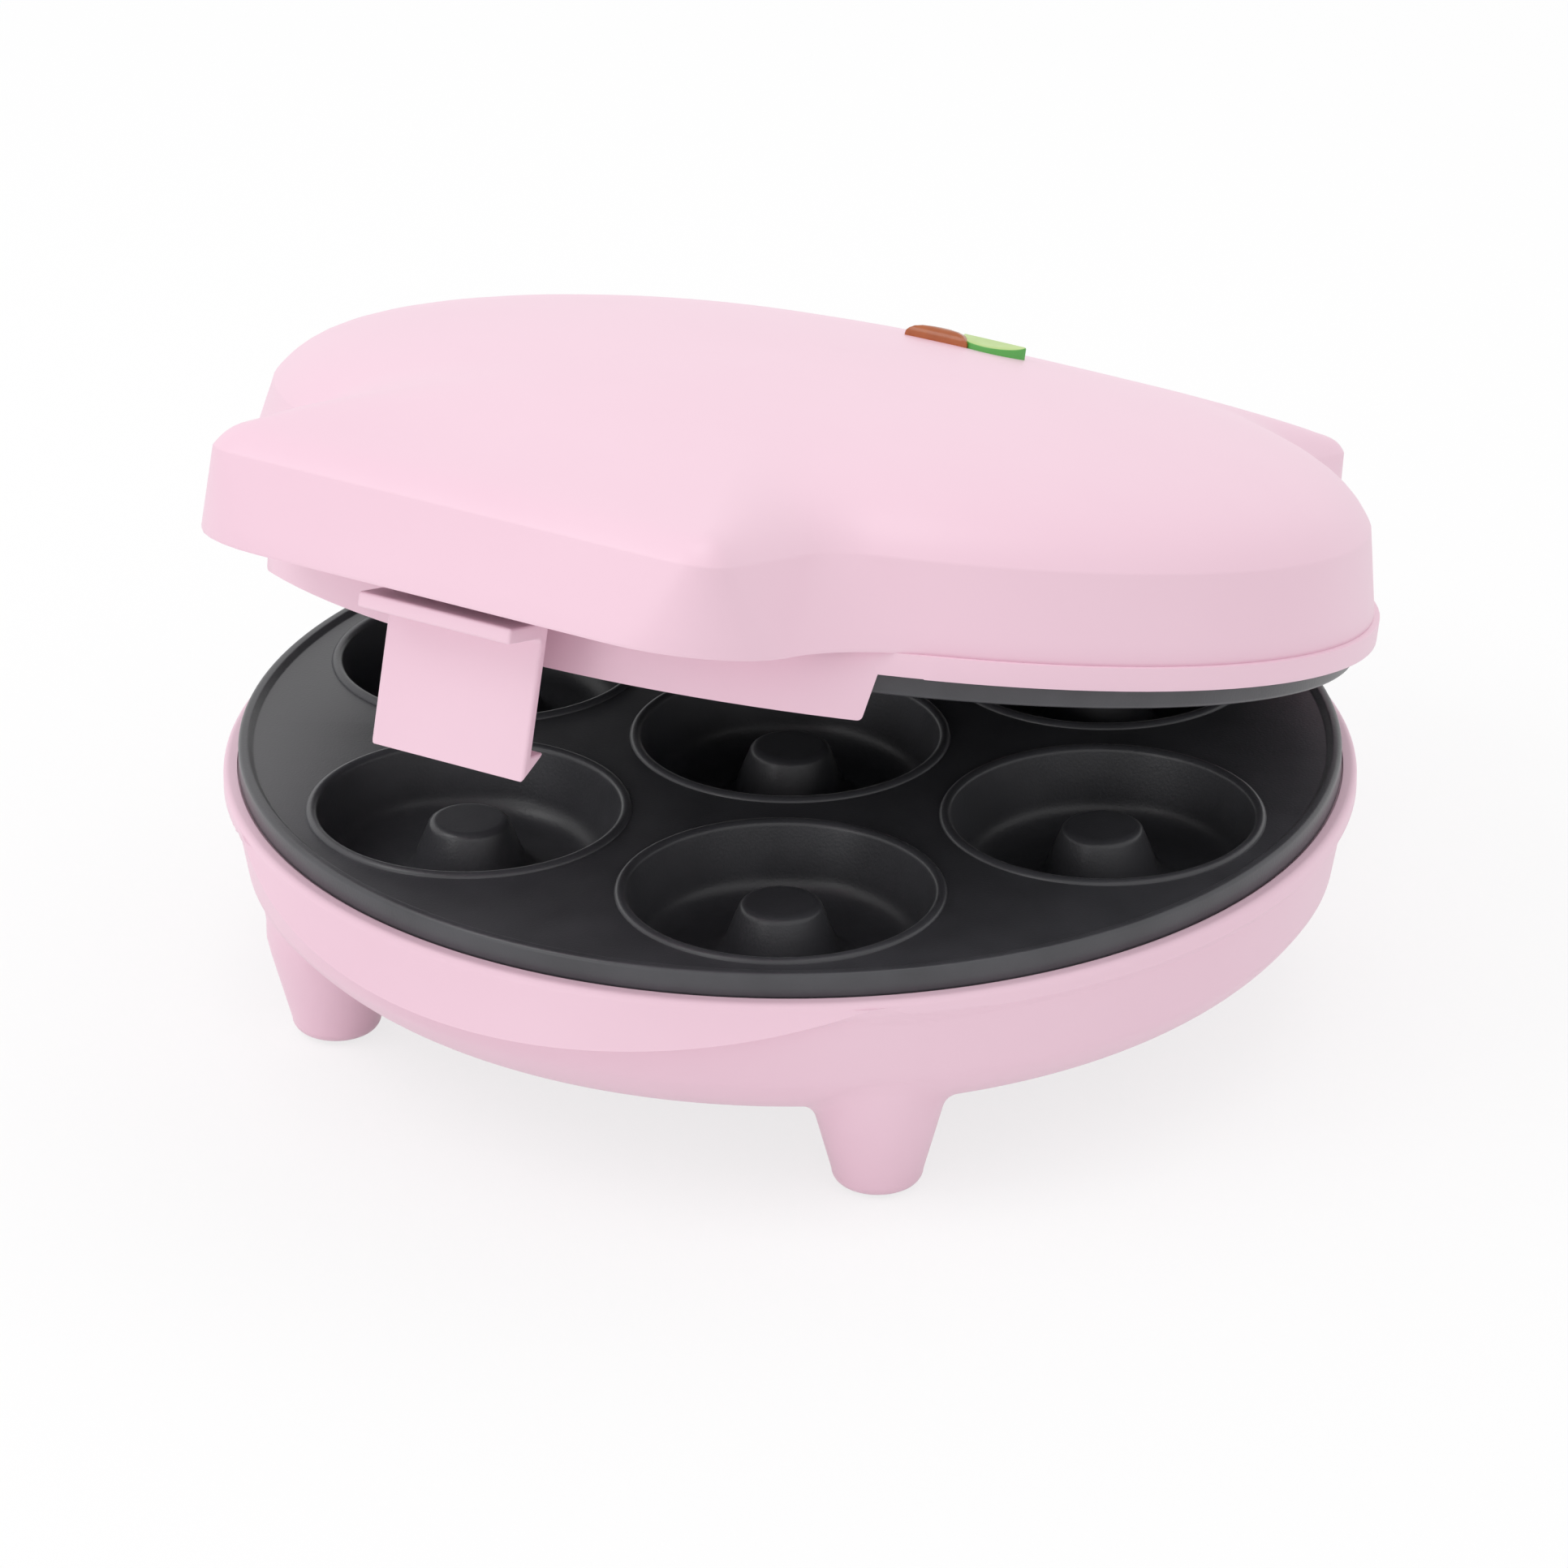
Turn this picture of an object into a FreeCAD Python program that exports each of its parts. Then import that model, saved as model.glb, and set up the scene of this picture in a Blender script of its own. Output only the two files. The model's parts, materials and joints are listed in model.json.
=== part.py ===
import FreeCAD, Part
import math
import os

from FreeCAD import Vector

os.makedirs("parts", exist_ok=True)

# Donut maker for seven small rings: a round base on four feet, and a lid hinged at its back.
# Every piece is drawn with the lid shut, about the axis of the plates, with z = 0 at the lower
# plate's rim. The lid and its latch are then swung open, and the whole is stood on z = 0.

# Overall stance
FLOOR_DEPTH = 48.0  # from the lower plate's rim down to the table
LID_OPEN = 15.2  # degrees, as it stands at rest

# Fits and fixings
WALL = 2.5  # moulded walls
FIT = 0.3  # gap between moulded pieces
SLACK = 1.2  # room round the latch
RUN = 0.05  # round a pin or a screw
SCREW_R = 1.9
SCREW_HEAD_R = 3.6
SCREW_HEAD = 2.6
SCREW_BITE = 5.9  # length that a screw holds in its boss
SCREW_END = 0.4  # pilot left free past the tip
CLAMP = 2.5  # wall that a screw clamps
BOSS_R = 4.5

# Baking plates
PLATE_R = 100.0
PLATE_EDGE = 5.0
PLATE_WEB = 3.0
RIM_WIDTH = 2.0
RIM_STEP = 1.0
PLATE_GAP = 0.4  # between the closed rims
RINGS = 6  # ring cavities round the middle one
RING_R = 27.0
RING_MARGIN = 7.8  # from the outer cavities to the plate's edge
RING_PITCH_R = PLATE_R - RING_MARGIN - RING_R
RING_DEPTH = 13.0
POST_R = 7.5  # middle post, at its top
POST_DROP = 2.0  # post top below the web
TROUGH_LEAN = 2.0  # how far the trough's sides lean in
TROUGH_BEVEL = 4.5  # bevel at the foot of each side
CASTING = 2.5  # metal round a trough
FIX_IN = 18.0
FIX_R = PLATE_R - FIX_IN  # screws that hold a plate
FIX_ANGLES = (30.0, 150.0, 270.0)
FIX_BOSS = 8.5  # depth of their bosses, from the rim
PAN_FIX_R = RING_PITCH_R / math.sqrt(3)  # screws that hold a reflector, between the cavities

# Heating elements and reflectors
ELEMENT_IN = 17.5
ELEMENT_R = RING_PITCH_R - ELEMENT_IN
ELEMENT_WIDTH = 6.6
ELEMENT_HEIGHT = 5.5
ELEMENT_GAP = 15.0  # half the gap between its ends, degrees
ELEMENT_LEG = 26.0
PAN_IN = 26.0
PAN_R = PLATE_R - PAN_IN
PAN_SHEET = 0.8

# Base shell
BASE_TOP = 4.5  # depth of its top edge, under the plate's rim
BAND_OVER = 3.0  # band past the plate's edge
BAND_R = PLATE_R + BAND_OVER
BAND_LOW = 11.0
BAND_STEP = 2.2
BAND_BEVEL = 0.9
WALL_R = BAND_R - BAND_STEP
WALL_LEAN = 2.1
WALL_LOW = 22.0  # where the wall starts to turn in
TURN_IN = 7.2  # middle of the turn
TURN_LOW = 28.1
BASE_DEPTH = 32.0
FLAT_IN = 14.0
FLAT_R = WALL_R - FLAT_IN  # flat underside
FOOT_IN = 1.1
FOOT_TURN = 48.3  # degrees from the side
FOOT_TOP_R = 14.0
FOOT_END_R = 8.0
FOOT_ROUND = 3.0
PAD_R = 4.5
PAD_DEEP = 1.6
PAD_PROUD = 0.4
POST_WALL = 2.2

# Lid
CROWN_Z = 40.0
CROWN_Y = -5.0
CROWN_RX = 1250.0
CROWN_RY = 600.0
CROWN_SPAN = 150.0
LID_OVER = 2.5  # lid wall past the plate's edge
SIDE_R = PLATE_R + LID_OVER
FRONT_LOBE = 25.5  # how far the lobes stand out from the round of the lid
REAR_LOBE = 18.5
FRONT_REACH = SIDE_R + FRONT_LOBE
REAR_REACH = SIDE_R + REAR_LOBE
LOBE_HALF = 57.0  # half width at the lower edge
REAR_NARROW = 3.0  # the rear lobe is narrower on each side
LID_LOW = 8.5  # lower edge of the lobed shell
CORNER_LEAST = 6.0
NOTCH_FULL = 0.9  # share of a lobe's side that its notch may take up
# Outline of the shell at rising heights: height, how far it is drawn in, how much narrower its
# lobes are on each side, and their corner and notch radius
LID_STEPS = (
    (LID_LOW, 0.0, 0.0, 22.0, 40.0),
    (23.5, 2.7, 5.0, 12.0, 15.0),
    (26.0, 4.2, 6.7, 11.5, 20.0),
    (30.0, 9.0, 11.5, 10.0, 36.0),
    (33.2, 17.0, 19.0, 9.0, 45.0),
    (40.0, 45.0, 45.0, 8.0, 60.0),
)
RING_STEP = 1.0
RING_OUT = SIDE_R + RING_STEP
RING_LOW = 4.4
RING_IN = PLATE_R + 2 * FIT
LEDGE_UNDER = 3.0  # ledge behind the plate's edge
LEDGE_IN = PLATE_R - LEDGE_UNDER
LEDGE_LOW = 6.0
FLOOR_LOW = 9.5
FLOOR_HIGH = 11.5
SKIRT_LOW = -3.8
SKIRT_THICK = 2.2
SKIRT_HALF = 37.0  # degrees each side of the front
FRONT_SCREW_X = 34.0
FRONT_SCREW_IN = 15.0
REAR_SCREW_X = 19.0
REAR_SCREW_IN = 12.0

# Hinge
HINGE_IN = 13.0
HINGE_Y = REAR_REACH - HINGE_IN
HINGE_Z = -5.0
PIN_R = 2.0
KNUCKLE_R = 6.0
KNUCKLE_X = 35.0
KNUCKLE_WIDTH = 10.0
EAR_WIDTH = 5.5

# Latch
LATCH_IN = 15.0
LATCH_Y = LATCH_IN - FRONT_REACH
LATCH_Z = 12.0
LATCH_HALF = 15.4
LATCH_PIN_R = 1.5
LATCH_BARREL_R = 3.2
LATCH_THICK = 2.0
LATCH_FORWARD = 2.5  # its face lies this far in front of its pin
LATCH_FACE = LATCH_Y - LATCH_FORWARD
LATCH_EAR = 3.0
HOOK_LOW = -21.5
HOOK_REACH = 6.2
HOOK_TIP_Y = LATCH_FACE + HOOK_REACH
HOOK_TIP_Z = -16.8
TAB_REACH = 10.3
TAB_FRONT = LATCH_FACE - TAB_REACH
TAB_LOW = 3.6
TAB_HIGH = 6.4
TAB_ROUND = 1.0

# Lip at the front of the base, which the latch hooks under
LIP_CLEAR = 1.8  # the hook passes it by this
LIP_REACH = -HOOK_TIP_Y - LIP_CLEAR
LIP_SHIFT = 19.6  # its middle lies this far in front of the plate's
LIP_R = LIP_REACH - LIP_SHIFT
LIP_SLOPE = 4.0
LIP_LOW = 15.5
LIP_ROUND = 2.0

# Lights and controls
LENS_R = 6.6
LENS_X = 5.7
LENS_Y = 46.0
LENS_SHIFT = 1.6  # between the flats of the two half-moons
LENS_RISE = 2.2
LENS_FLANGE = 0.5
HOLDER_Z = 27.0
HOLDER_THICK = 1.4
LAMP_R = 2.4
LAMP_LONG = 11.0
LAMP_SPREAD = 1.3  # the lamps stand wider than the lenses by this
HOLDER_MARGIN = 2.0
PILLAR_X = 17.0
PILLAR_R = 3.0
PEG_R = 1.2
STAT_R = 7.0
STAT_HEIGHT = 6.0
STAT_CAP_R = 5.5
STAT_CAP = 3.0
BLADE_X = 3.0
BLADE_WIDTH = 4.8
BLADE_THICK = 0.8
FUSE_R = 2.0
FUSE_LONG = 11.0
FUSE_LEAD = 3.0
FUSE_LEAD_R = 0.6
BLOCK_HALF = 13.0
BLOCK_DEEP = 8.0
BLOCK_HIGH = 9.0
BLOCK_ROUND = 1.0
BLOCK_WELLS = (-8.0, 0.0, 8.0)
WELL_R = 1.8
GLAND_R = 5.5
GLAND_BORE = 3.3
GLAND_Z = -20.5

UP = Vector(0, 0, 1)
ALONG_X = Vector(1, 0, 0)
ALONG_Y = Vector(0, 1, 0)


# Drawing helpers


def line(a, b):
    return Part.LineSegment(a, b).toShape()


def arc(a, middle, b):
    return Part.Arc(a, middle, b).toShape()


def section(first, *steps):
    """Closed face in the XZ plane. A step is an end point, or the middle and the end of an arc."""
    edges = []
    here = first
    for step in steps + (first,):
        end = step[-2:]
        a, b = Vector(here[0], 0, here[1]), Vector(end[0], 0, end[1])
        if len(step) == 4:
            edges.append(arc(a, Vector(step[0], 0, step[1]), b))
        else:
            edges.append(line(a, b))
        here = end
    return Part.Face(Part.Wire(edges))


def turned(first, *steps, angle=360):
    """Solid turned about Z from a section drawn in radius and height."""
    return section(first, *steps).revolve(Vector(), UP, angle)


def cylinder(radius, low, high, x=0.0, y=0.0):
    return Part.makeCylinder(radius, high - low, Vector(x, y, low))


def cone(low_r, high_r, low, high, x=0.0, y=0.0):
    return Part.makeCone(low_r, high_r, high - low, Vector(x, y, low))


def rod(radius, x0, x1, y, z):
    return Part.makeCylinder(radius, x1 - x0, Vector(x0, y, z), ALONG_X)


def bar(x0, x1, y0, y1, z0, z1):
    return Part.makeBox(x1 - x0, y1 - y0, z1 - z0, Vector(x0, y0, z0))


def slab(points, x0, x1):
    """Straight-sided plate whose outline lies in the YZ plane."""
    corners = [Vector(x0, y, z) for y, z in points]
    return Part.Face(Part.makePolygon(corners + corners[:1])).extrude(Vector(x1 - x0, 0, 0))


def polar(radius, degrees):
    turn = math.radians(degrees)
    return radius * math.cos(turn), radius * math.sin(turn)


def rounded(shape, radius, wanted):
    """The shape with every edge that the test picks rounded off."""
    return shape.makeFillet(radius, [edge for edge in shape.Edges if wanted(edge)])


def at_height(edge, z):
    return abs(edge.BoundBox.ZMin - z) < FIT and abs(edge.BoundBox.ZMax - z) < FIT


def turned_over(shape):
    """A piece of the lower heating set, turned over to face it from the lid."""
    upper = shape.copy()
    upper.rotate(Vector(), ALONG_Y, 180)
    upper.translate(Vector(0, 0, PLATE_GAP))
    return upper


# Depths that follow from the plate

WEB_TOP = -RIM_STEP
WEB_LOW = WEB_TOP - PLATE_WEB
TROUGH_LOW = WEB_TOP - RING_DEPTH
BOWL_LOW = TROUGH_LOW - CASTING
PAN_TOP = BOWL_LOW - ELEMENT_HEIGHT
PILOT_TOP = SCREW_BITE + SCREW_END
FIX_HOLE_R = SCREW_R + RUN
FIX_SPOTS = [polar(FIX_R, angle) for angle in FIX_ANGLES]
PAN_SPOTS = [polar(PAN_FIX_R, angle) for angle in FIX_ANGLES]
FEET = [polar(FLAT_R - FOOT_IN, turn + side * FOOT_TURN) for turn in (0, 180) for side in (-1, 1)]
LID_SCREWS = [(side * FRONT_SCREW_X, FRONT_SCREW_IN - FRONT_REACH) for side in (-1, 1)]
LID_SCREWS += [(side * REAR_SCREW_X, REAR_REACH - REAR_SCREW_IN) for side in (-1, 1)]
RING_SPOTS = [(0.0, 0.0)] + [polar(RING_PITCH_R, 360.0 / RINGS * i) for i in range(RINGS)]


# Heating set: cast plate, element, reflector


def trough():
    """Ring cavity: leaning sides, a bevelled bottom and a middle post."""
    inner, outer = POST_R + TROUGH_LEAN, RING_R - TROUGH_LEAN
    side = TROUGH_LOW + TROUGH_BEVEL
    post = WEB_TOP - POST_DROP
    top = RIM_STEP
    return turned((0, top), (RING_R, top), (RING_R, WEB_TOP), (outer, side),
                  (outer - TROUGH_BEVEL, TROUGH_LOW), (inner + TROUGH_BEVEL, TROUGH_LOW),
                  (inner, side), (POST_R, post), (0, post))


def bowl():
    """Metal that carries a ring cavity below the web."""
    return cone(RING_R - TROUGH_LEAN, RING_R + CASTING, BOWL_LOW, WEB_LOW)


def plate():
    body = turned((0, WEB_LOW), (PLATE_R - RIM_WIDTH, WEB_LOW), (PLATE_R - RIM_WIDTH, -PLATE_EDGE),
                  (PLATE_R, -PLATE_EDGE), (PLATE_R, 0), (PLATE_R - RIM_WIDTH, 0),
                  (PLATE_R - RIM_WIDTH - RIM_STEP, WEB_TOP), (0, WEB_TOP))
    metal = [bowl().translated(Vector(x, y, 0)) for x, y in RING_SPOTS]
    metal += [cylinder(BOSS_R, -FIX_BOSS, WEB_LOW, x, y) for x, y in FIX_SPOTS]
    metal += [cylinder(BOSS_R, PAN_TOP, WEB_LOW, x, y) for x, y in PAN_SPOTS]
    body = body.fuse(metal)
    cuts = [trough().translated(Vector(x, y, 0)) for x, y in RING_SPOTS]
    cuts += [cylinder(FIX_HOLE_R, -FIX_BOSS, PILOT_TOP - FIX_BOSS, x, y) for x, y in FIX_SPOTS]
    cuts += [cylinder(FIX_HOLE_R, PAN_TOP, PAN_TOP + PILOT_TOP, x, y) for x, y in PAN_SPOTS]
    return body.cut(cuts).removeSplitter()


def element():
    """Flat-pressed heating tube: a loop under the outer cavities with two ends to the rear."""
    inner, outer = ELEMENT_R - ELEMENT_WIDTH / 2, ELEMENT_R + ELEMENT_WIDTH / 2
    loop = turned((inner, PAN_TOP), (outer, PAN_TOP), (outer, BOWL_LOW), (inner, BOWL_LOW),
                  angle=360 - 2 * ELEMENT_GAP)
    loop.rotate(Vector(), UP, 90 + ELEMENT_GAP)
    x, y = polar(ELEMENT_R, 90 - ELEMENT_GAP)
    half = ELEMENT_WIDTH / 2
    legs = [bar(s * x - half, s * x + half, y, y + ELEMENT_LEG, PAN_TOP, BOWL_LOW) for s in (-1, 1)]
    return loop.fuse(legs).removeSplitter()


def reflector():
    pan = cylinder(PAN_R, PAN_TOP - PAN_SHEET, PAN_TOP)
    holes = [cylinder(FIX_HOLE_R + FIT, PAN_TOP - PAN_SHEET, PAN_TOP, x, y) for x, y in PAN_SPOTS]
    return pan.cut(holes)


def screw(x, y, seat, grip):
    """Screw pointing up: its head seats at this height and it passes through the grip."""
    head = cylinder(SCREW_HEAD_R, seat - SCREW_HEAD, seat, x, y)
    return head.fuse(cylinder(SCREW_R, seat, seat + grip + SCREW_BITE, x, y))


def plate_screws():
    return Part.Compound([screw(x, y, -FIX_BOSS - CLAMP, CLAMP) for x, y in FIX_SPOTS])


def reflector_screws():
    return Part.Compound([screw(x, y, PAN_TOP - PAN_SHEET, PAN_SHEET) for x, y in PAN_SPOTS])


# Outlines with lobes


def half_lobe(side_r, half, reach, corner_r, notch_r):
    """Points of half a lobe on a circle: start, middle and end of its corner, then of its notch."""
    side = reach - corner_r
    notch_most = (side ** 2 + half ** 2 - side_r ** 2) / (2 * (side_r - half))
    notch_r = min(notch_r, NOTCH_FULL * notch_most)
    notch = Vector(half + notch_r, math.sqrt((side_r + notch_r) ** 2 - (half + notch_r) ** 2), 0)
    corner = Vector(half - corner_r, reach - corner_r, 0)
    diagonal = Vector(1, 1, 0).normalize() * corner_r
    inward = Vector(notch).normalize() * -1
    between = (inward + Vector(-1, 0, 0)).normalize()
    return [corner + Vector(0, corner_r, 0), corner + diagonal, corner + Vector(corner_r, 0, 0),
            Vector(half, notch.y, 0), notch + between * notch_r, notch + inward * notch_r]


def lobe_edges(points, side, height):
    """Edges of a half lobe on the right, from its middle line to the circle; side is -1 at the front."""
    at = [Vector(p.x, side * p.y, height) for p in points]
    return [arc(at[0], at[1], at[2]), line(at[2], at[3]), arc(at[3], at[4], at[5])], at[0], at[5]


def mirrored(edges):
    return [edge.mirror(Vector(), ALONG_X) for edge in edges]


def lid_wire(height, inset, narrower, corner_r, notch_r):
    """Outline of the lid: a circle, drawn in by the inset, with a front and a rear lobe."""
    side_r = SIDE_R - inset
    half = LOBE_HALF - narrower
    front = half_lobe(side_r, half, FRONT_REACH - inset, corner_r, notch_r)
    rear = half_lobe(side_r, half - REAR_NARROW, REAR_REACH - inset, min(corner_r, half / 2), notch_r)
    front_edges, front_mid, front_end = lobe_edges(front, -1, height)
    rear_edges, rear_mid, rear_end = lobe_edges(rear, 1, height)
    side = [arc(front_end, Vector(side_r, 0, height), rear_end)]
    right = front_edges + side + rear_edges[::-1]
    across = [line(Vector(-mid.x, mid.y, height), mid) for mid in (front_mid, rear_mid)]
    return Part.Wire(Part.__sortEdges__([across[0]] + right + [across[1]] + mirrored(right)))


def thinner(step, thick, drop):
    """A step of the shell, drawn in by the thickness and lowered by the drop."""
    height, inset, narrower, corner_r, notch_r = step
    corner_r = max(corner_r - thick, CORNER_LEAST)
    return height - drop, inset + thick, narrower + thick, corner_r, notch_r + thick


def lid_block(thick):
    """Lobed block: drafted walls, a shoulder and a crowned top, drawn in by the thickness."""
    steps = [thinner(LID_STEPS[0], thick, 0.0)]
    steps += [thinner(step, thick, thick) for step in LID_STEPS[1:]]
    return Part.makeLoft([lid_wire(*step) for step in steps], True, True).common(under_crown(thick))


def under_crown(drop):
    """Everything under the crowned top of the lid, lowered by the drop."""
    top = CROWN_Z - drop
    edge = top - CROWN_RY + math.sqrt(CROWN_RY ** 2 - CROWN_SPAN ** 2)
    face = section((-CROWN_SPAN, 0), (CROWN_SPAN, 0), (CROWN_SPAN, edge), (0, top, -CROWN_SPAN, edge))
    face.rotate(Vector(), UP, 90)
    face.translate(Vector(0, CROWN_Y, 0))
    axis = Vector(0, 0, top - CROWN_RX)
    swing = math.degrees(math.asin(CROWN_SPAN / CROWN_RX))
    face.rotate(axis, ALONG_Y, -swing)
    return face.revolve(axis, ALONG_Y, 2 * swing)


# Base


def base_form():
    """Outside of the base: bowl with a band round its top."""
    return turned((0, -BASE_DEPTH), (FLAT_R, -BASE_DEPTH),
                  (WALL_R - TURN_IN, -TURN_LOW, WALL_R - WALL_LEAN, -WALL_LOW),
                  (WALL_R, -BAND_LOW - BAND_STEP), (BAND_R, -BAND_LOW), (BAND_R, -BASE_TOP - BAND_BEVEL),
                  (BAND_R - BAND_BEVEL, -BASE_TOP), (0, -BASE_TOP))


def base_hollow():
    low = -BASE_DEPTH + WALL
    wall_r = WALL_R - WALL
    return turned((0, low), (FLAT_R - WALL, low), (wall_r - WALL_LEAN, -WALL_LOW),
                  (wall_r, -BAND_LOW - BAND_STEP), (wall_r, -BASE_TOP), (0, -BASE_TOP))


def catch_lip():
    """Crescent that stands out from the front of the base, with a rounded lower edge."""
    inner = LIP_R - LIP_ROUND
    turn = LIP_ROUND * (1 - math.sqrt(0.5))
    lip = turned((0, -LIP_LOW), (inner, -LIP_LOW),
                 (LIP_R - turn, turn - LIP_LOW, LIP_R, LIP_ROUND - LIP_LOW),
                 (LIP_R - LIP_SLOPE, -BASE_TOP), (0, -BASE_TOP))
    return lip.translated(Vector(0, -LIP_SHIFT, 0))


def foot(x, y):
    end = PAD_PROUD - FLOOR_DEPTH
    leg = cone(FOOT_END_R, FOOT_TOP_R, end + FOOT_ROUND, -WALL_LOW, x, y)
    tip = cone(FOOT_END_R - FOOT_ROUND / 2, FOOT_END_R, end, end + FOOT_ROUND, x, y)
    return leg.fuse(tip).cut(cylinder(PAD_R + RUN, end, end + PAD_DEEP - PAD_PROUD, x, y))


EAR_X = KNUCKLE_X - KNUCKLE_WIDTH / 2 - FIT - EAR_WIDTH, KNUCKLE_X + KNUCKLE_WIDTH / 2 + FIT


def hinge_ear(x0):
    """Ear of the base that holds a hinge pin."""
    root = HINGE_Y - 4 * KNUCKLE_R
    low = HINGE_Z - KNUCKLE_R
    high = HINGE_Z + KNUCKLE_R
    arm = slab([(root, high), (HINGE_Y, high), (HINGE_Y, low), (root, low)], x0, x0 + EAR_WIDTH)
    return arm.fuse(rod(KNUCKLE_R, x0, x0 + EAR_WIDTH, HINGE_Y, HINGE_Z))


def screw_post(x, y):
    """Post from the floor of the base up to a boss of the lower plate."""
    post = cylinder(SCREW_HEAD_R + FIT + POST_WALL, -BASE_DEPTH, -FIX_BOSS, x, y)
    return post.common(base_form())


def base_shell():
    ears = [hinge_ear(x) for x in EAR_X] + [hinge_ear(-x - EAR_WIDTH) for x in EAR_X]
    body = base_form().fuse([catch_lip()] + [foot(x, y) for x, y in FEET] + ears)
    plate_room = cylinder(PLATE_R + 2 * FIT, -PLATE_EDGE - FIT, HINGE_Z + 2 * KNUCKLE_R)
    body = body.cut([base_hollow(), plate_room]).fuse([screw_post(x, y) for x, y in FIX_SPOTS])
    cuts = [cylinder(SCREW_HEAD_R + FIT, -BASE_DEPTH, -FIX_BOSS - CLAMP, x, y) for x, y in FIX_SPOTS]
    cuts += [cylinder(FIX_HOLE_R + FIT, -FIX_BOSS - CLAMP, -FIX_BOSS, x, y) for x, y in FIX_SPOTS]
    cuts += [rod(PIN_R + RUN, -BAND_R, BAND_R, HINGE_Y, HINGE_Z)]
    cuts += [gland_form(GLAND_R + RUN)]
    return body.cut(cuts).removeSplitter()


def foot_pads():
    top = PAD_DEEP - FLOOR_DEPTH
    return Part.Compound([cylinder(PAD_R, -FLOOR_DEPTH, top, x, y) for x, y in FEET])


def hinge_pins():
    first, last = EAR_X[0] + FIT, EAR_X[1] + EAR_WIDTH - FIT
    return Part.Compound([rod(PIN_R, x, x + last - first, HINGE_Y, HINGE_Z) for x in (first, -last)])


def gland_form(radius):
    """Round plug through the rear wall, along Y."""
    return Part.makeCylinder(radius, 3 * WALL, Vector(0, WALL_R - 2 * WALL, GLAND_Z), ALONG_Y)


def cord_gland():
    collar = Part.makeCylinder(GLAND_R + WALL / 2, WALL / 2, Vector(0, WALL_R + RUN, GLAND_Z), ALONG_Y)
    bore = Part.makeCylinder(GLAND_BORE, 6 * WALL, Vector(0, WALL_R - 3 * WALL, GLAND_Z), ALONG_Y)
    return gland_form(GLAND_R).fuse(collar).cut(bore).removeSplitter()


def terminal_block():
    """Terminal block on the floor, between the reflector and the rear wall."""
    floor = -BASE_DEPTH + WALL
    top = floor + BLOCK_HIGH
    y0 = PAN_R + FIT
    block = bar(-BLOCK_HALF, BLOCK_HALF, y0, y0 + BLOCK_DEEP, floor, top)
    block = rounded(block, BLOCK_ROUND, lambda e: at_height(e, top))
    middle = y0 + BLOCK_DEEP / 2
    return block.cut([cylinder(WELL_R, floor + BLOCK_HIGH / 2, top, x, middle) for x in BLOCK_WELLS])


# Lid


def lid_shell():
    outer = lid_block(0.0)
    bosses = [cylinder(BOSS_R, FLOOR_HIGH, CROWN_Z, x, y) for x, y in LID_SCREWS]
    bosses += [cylinder(PILLAR_R, HOLDER_Z + HOLDER_THICK, CROWN_Z, s * PILLAR_X, LENS_Y) for s in (-1, 1)]
    roof = outer.common(bosses[0].multiFuse(bosses[1:]))
    shell = outer.cut(lid_block(WALL)).fuse(roof)
    cuts = [cylinder(FIX_HOLE_R, FLOOR_HIGH, FLOOR_HIGH + PILOT_TOP, x, y) for x, y in LID_SCREWS]
    peg_top = HOLDER_Z + HOLDER_THICK + 2 * PEG_R
    cuts += [cylinder(PEG_R + RUN, HOLDER_Z, peg_top + RUN, s * PILLAR_X, LENS_Y) for s in (-1, 1)]
    cuts += [half_moon(side, RUN, HOLDER_Z, CROWN_Z + LENS_RISE) for side in (-1, 1)]
    return shell.cut(cuts).removeSplitter()


def lid_floor():
    """Lobed floor that closes the lobes from below, with a way through for the latch."""
    share = (FLOOR_HIGH - LID_LOW) / (LID_STEPS[1][0] - LID_LOW)
    step = [low + share * (high - low) for low, high in zip(*LID_STEPS[:2])]
    inner = thinner(step, WALL + SLACK, FLOOR_HIGH - FLOOR_LOW)
    floor = Part.Face(lid_wire(*inner)).extrude(Vector(0, 0, FLOOR_HIGH - FLOOR_LOW))
    slot, rear = LATCH_HALF + SLACK, LATCH_Y + LATCH_BARREL_R + SLACK
    way = bar(-slot, slot, TAB_FRONT - SLACK, rear, FLOOR_LOW, FLOOR_HIGH)
    return floor.cut([cylinder(LEDGE_IN, FLOOR_LOW, FLOOR_HIGH), way]), SIDE_R - inner[1]


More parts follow.
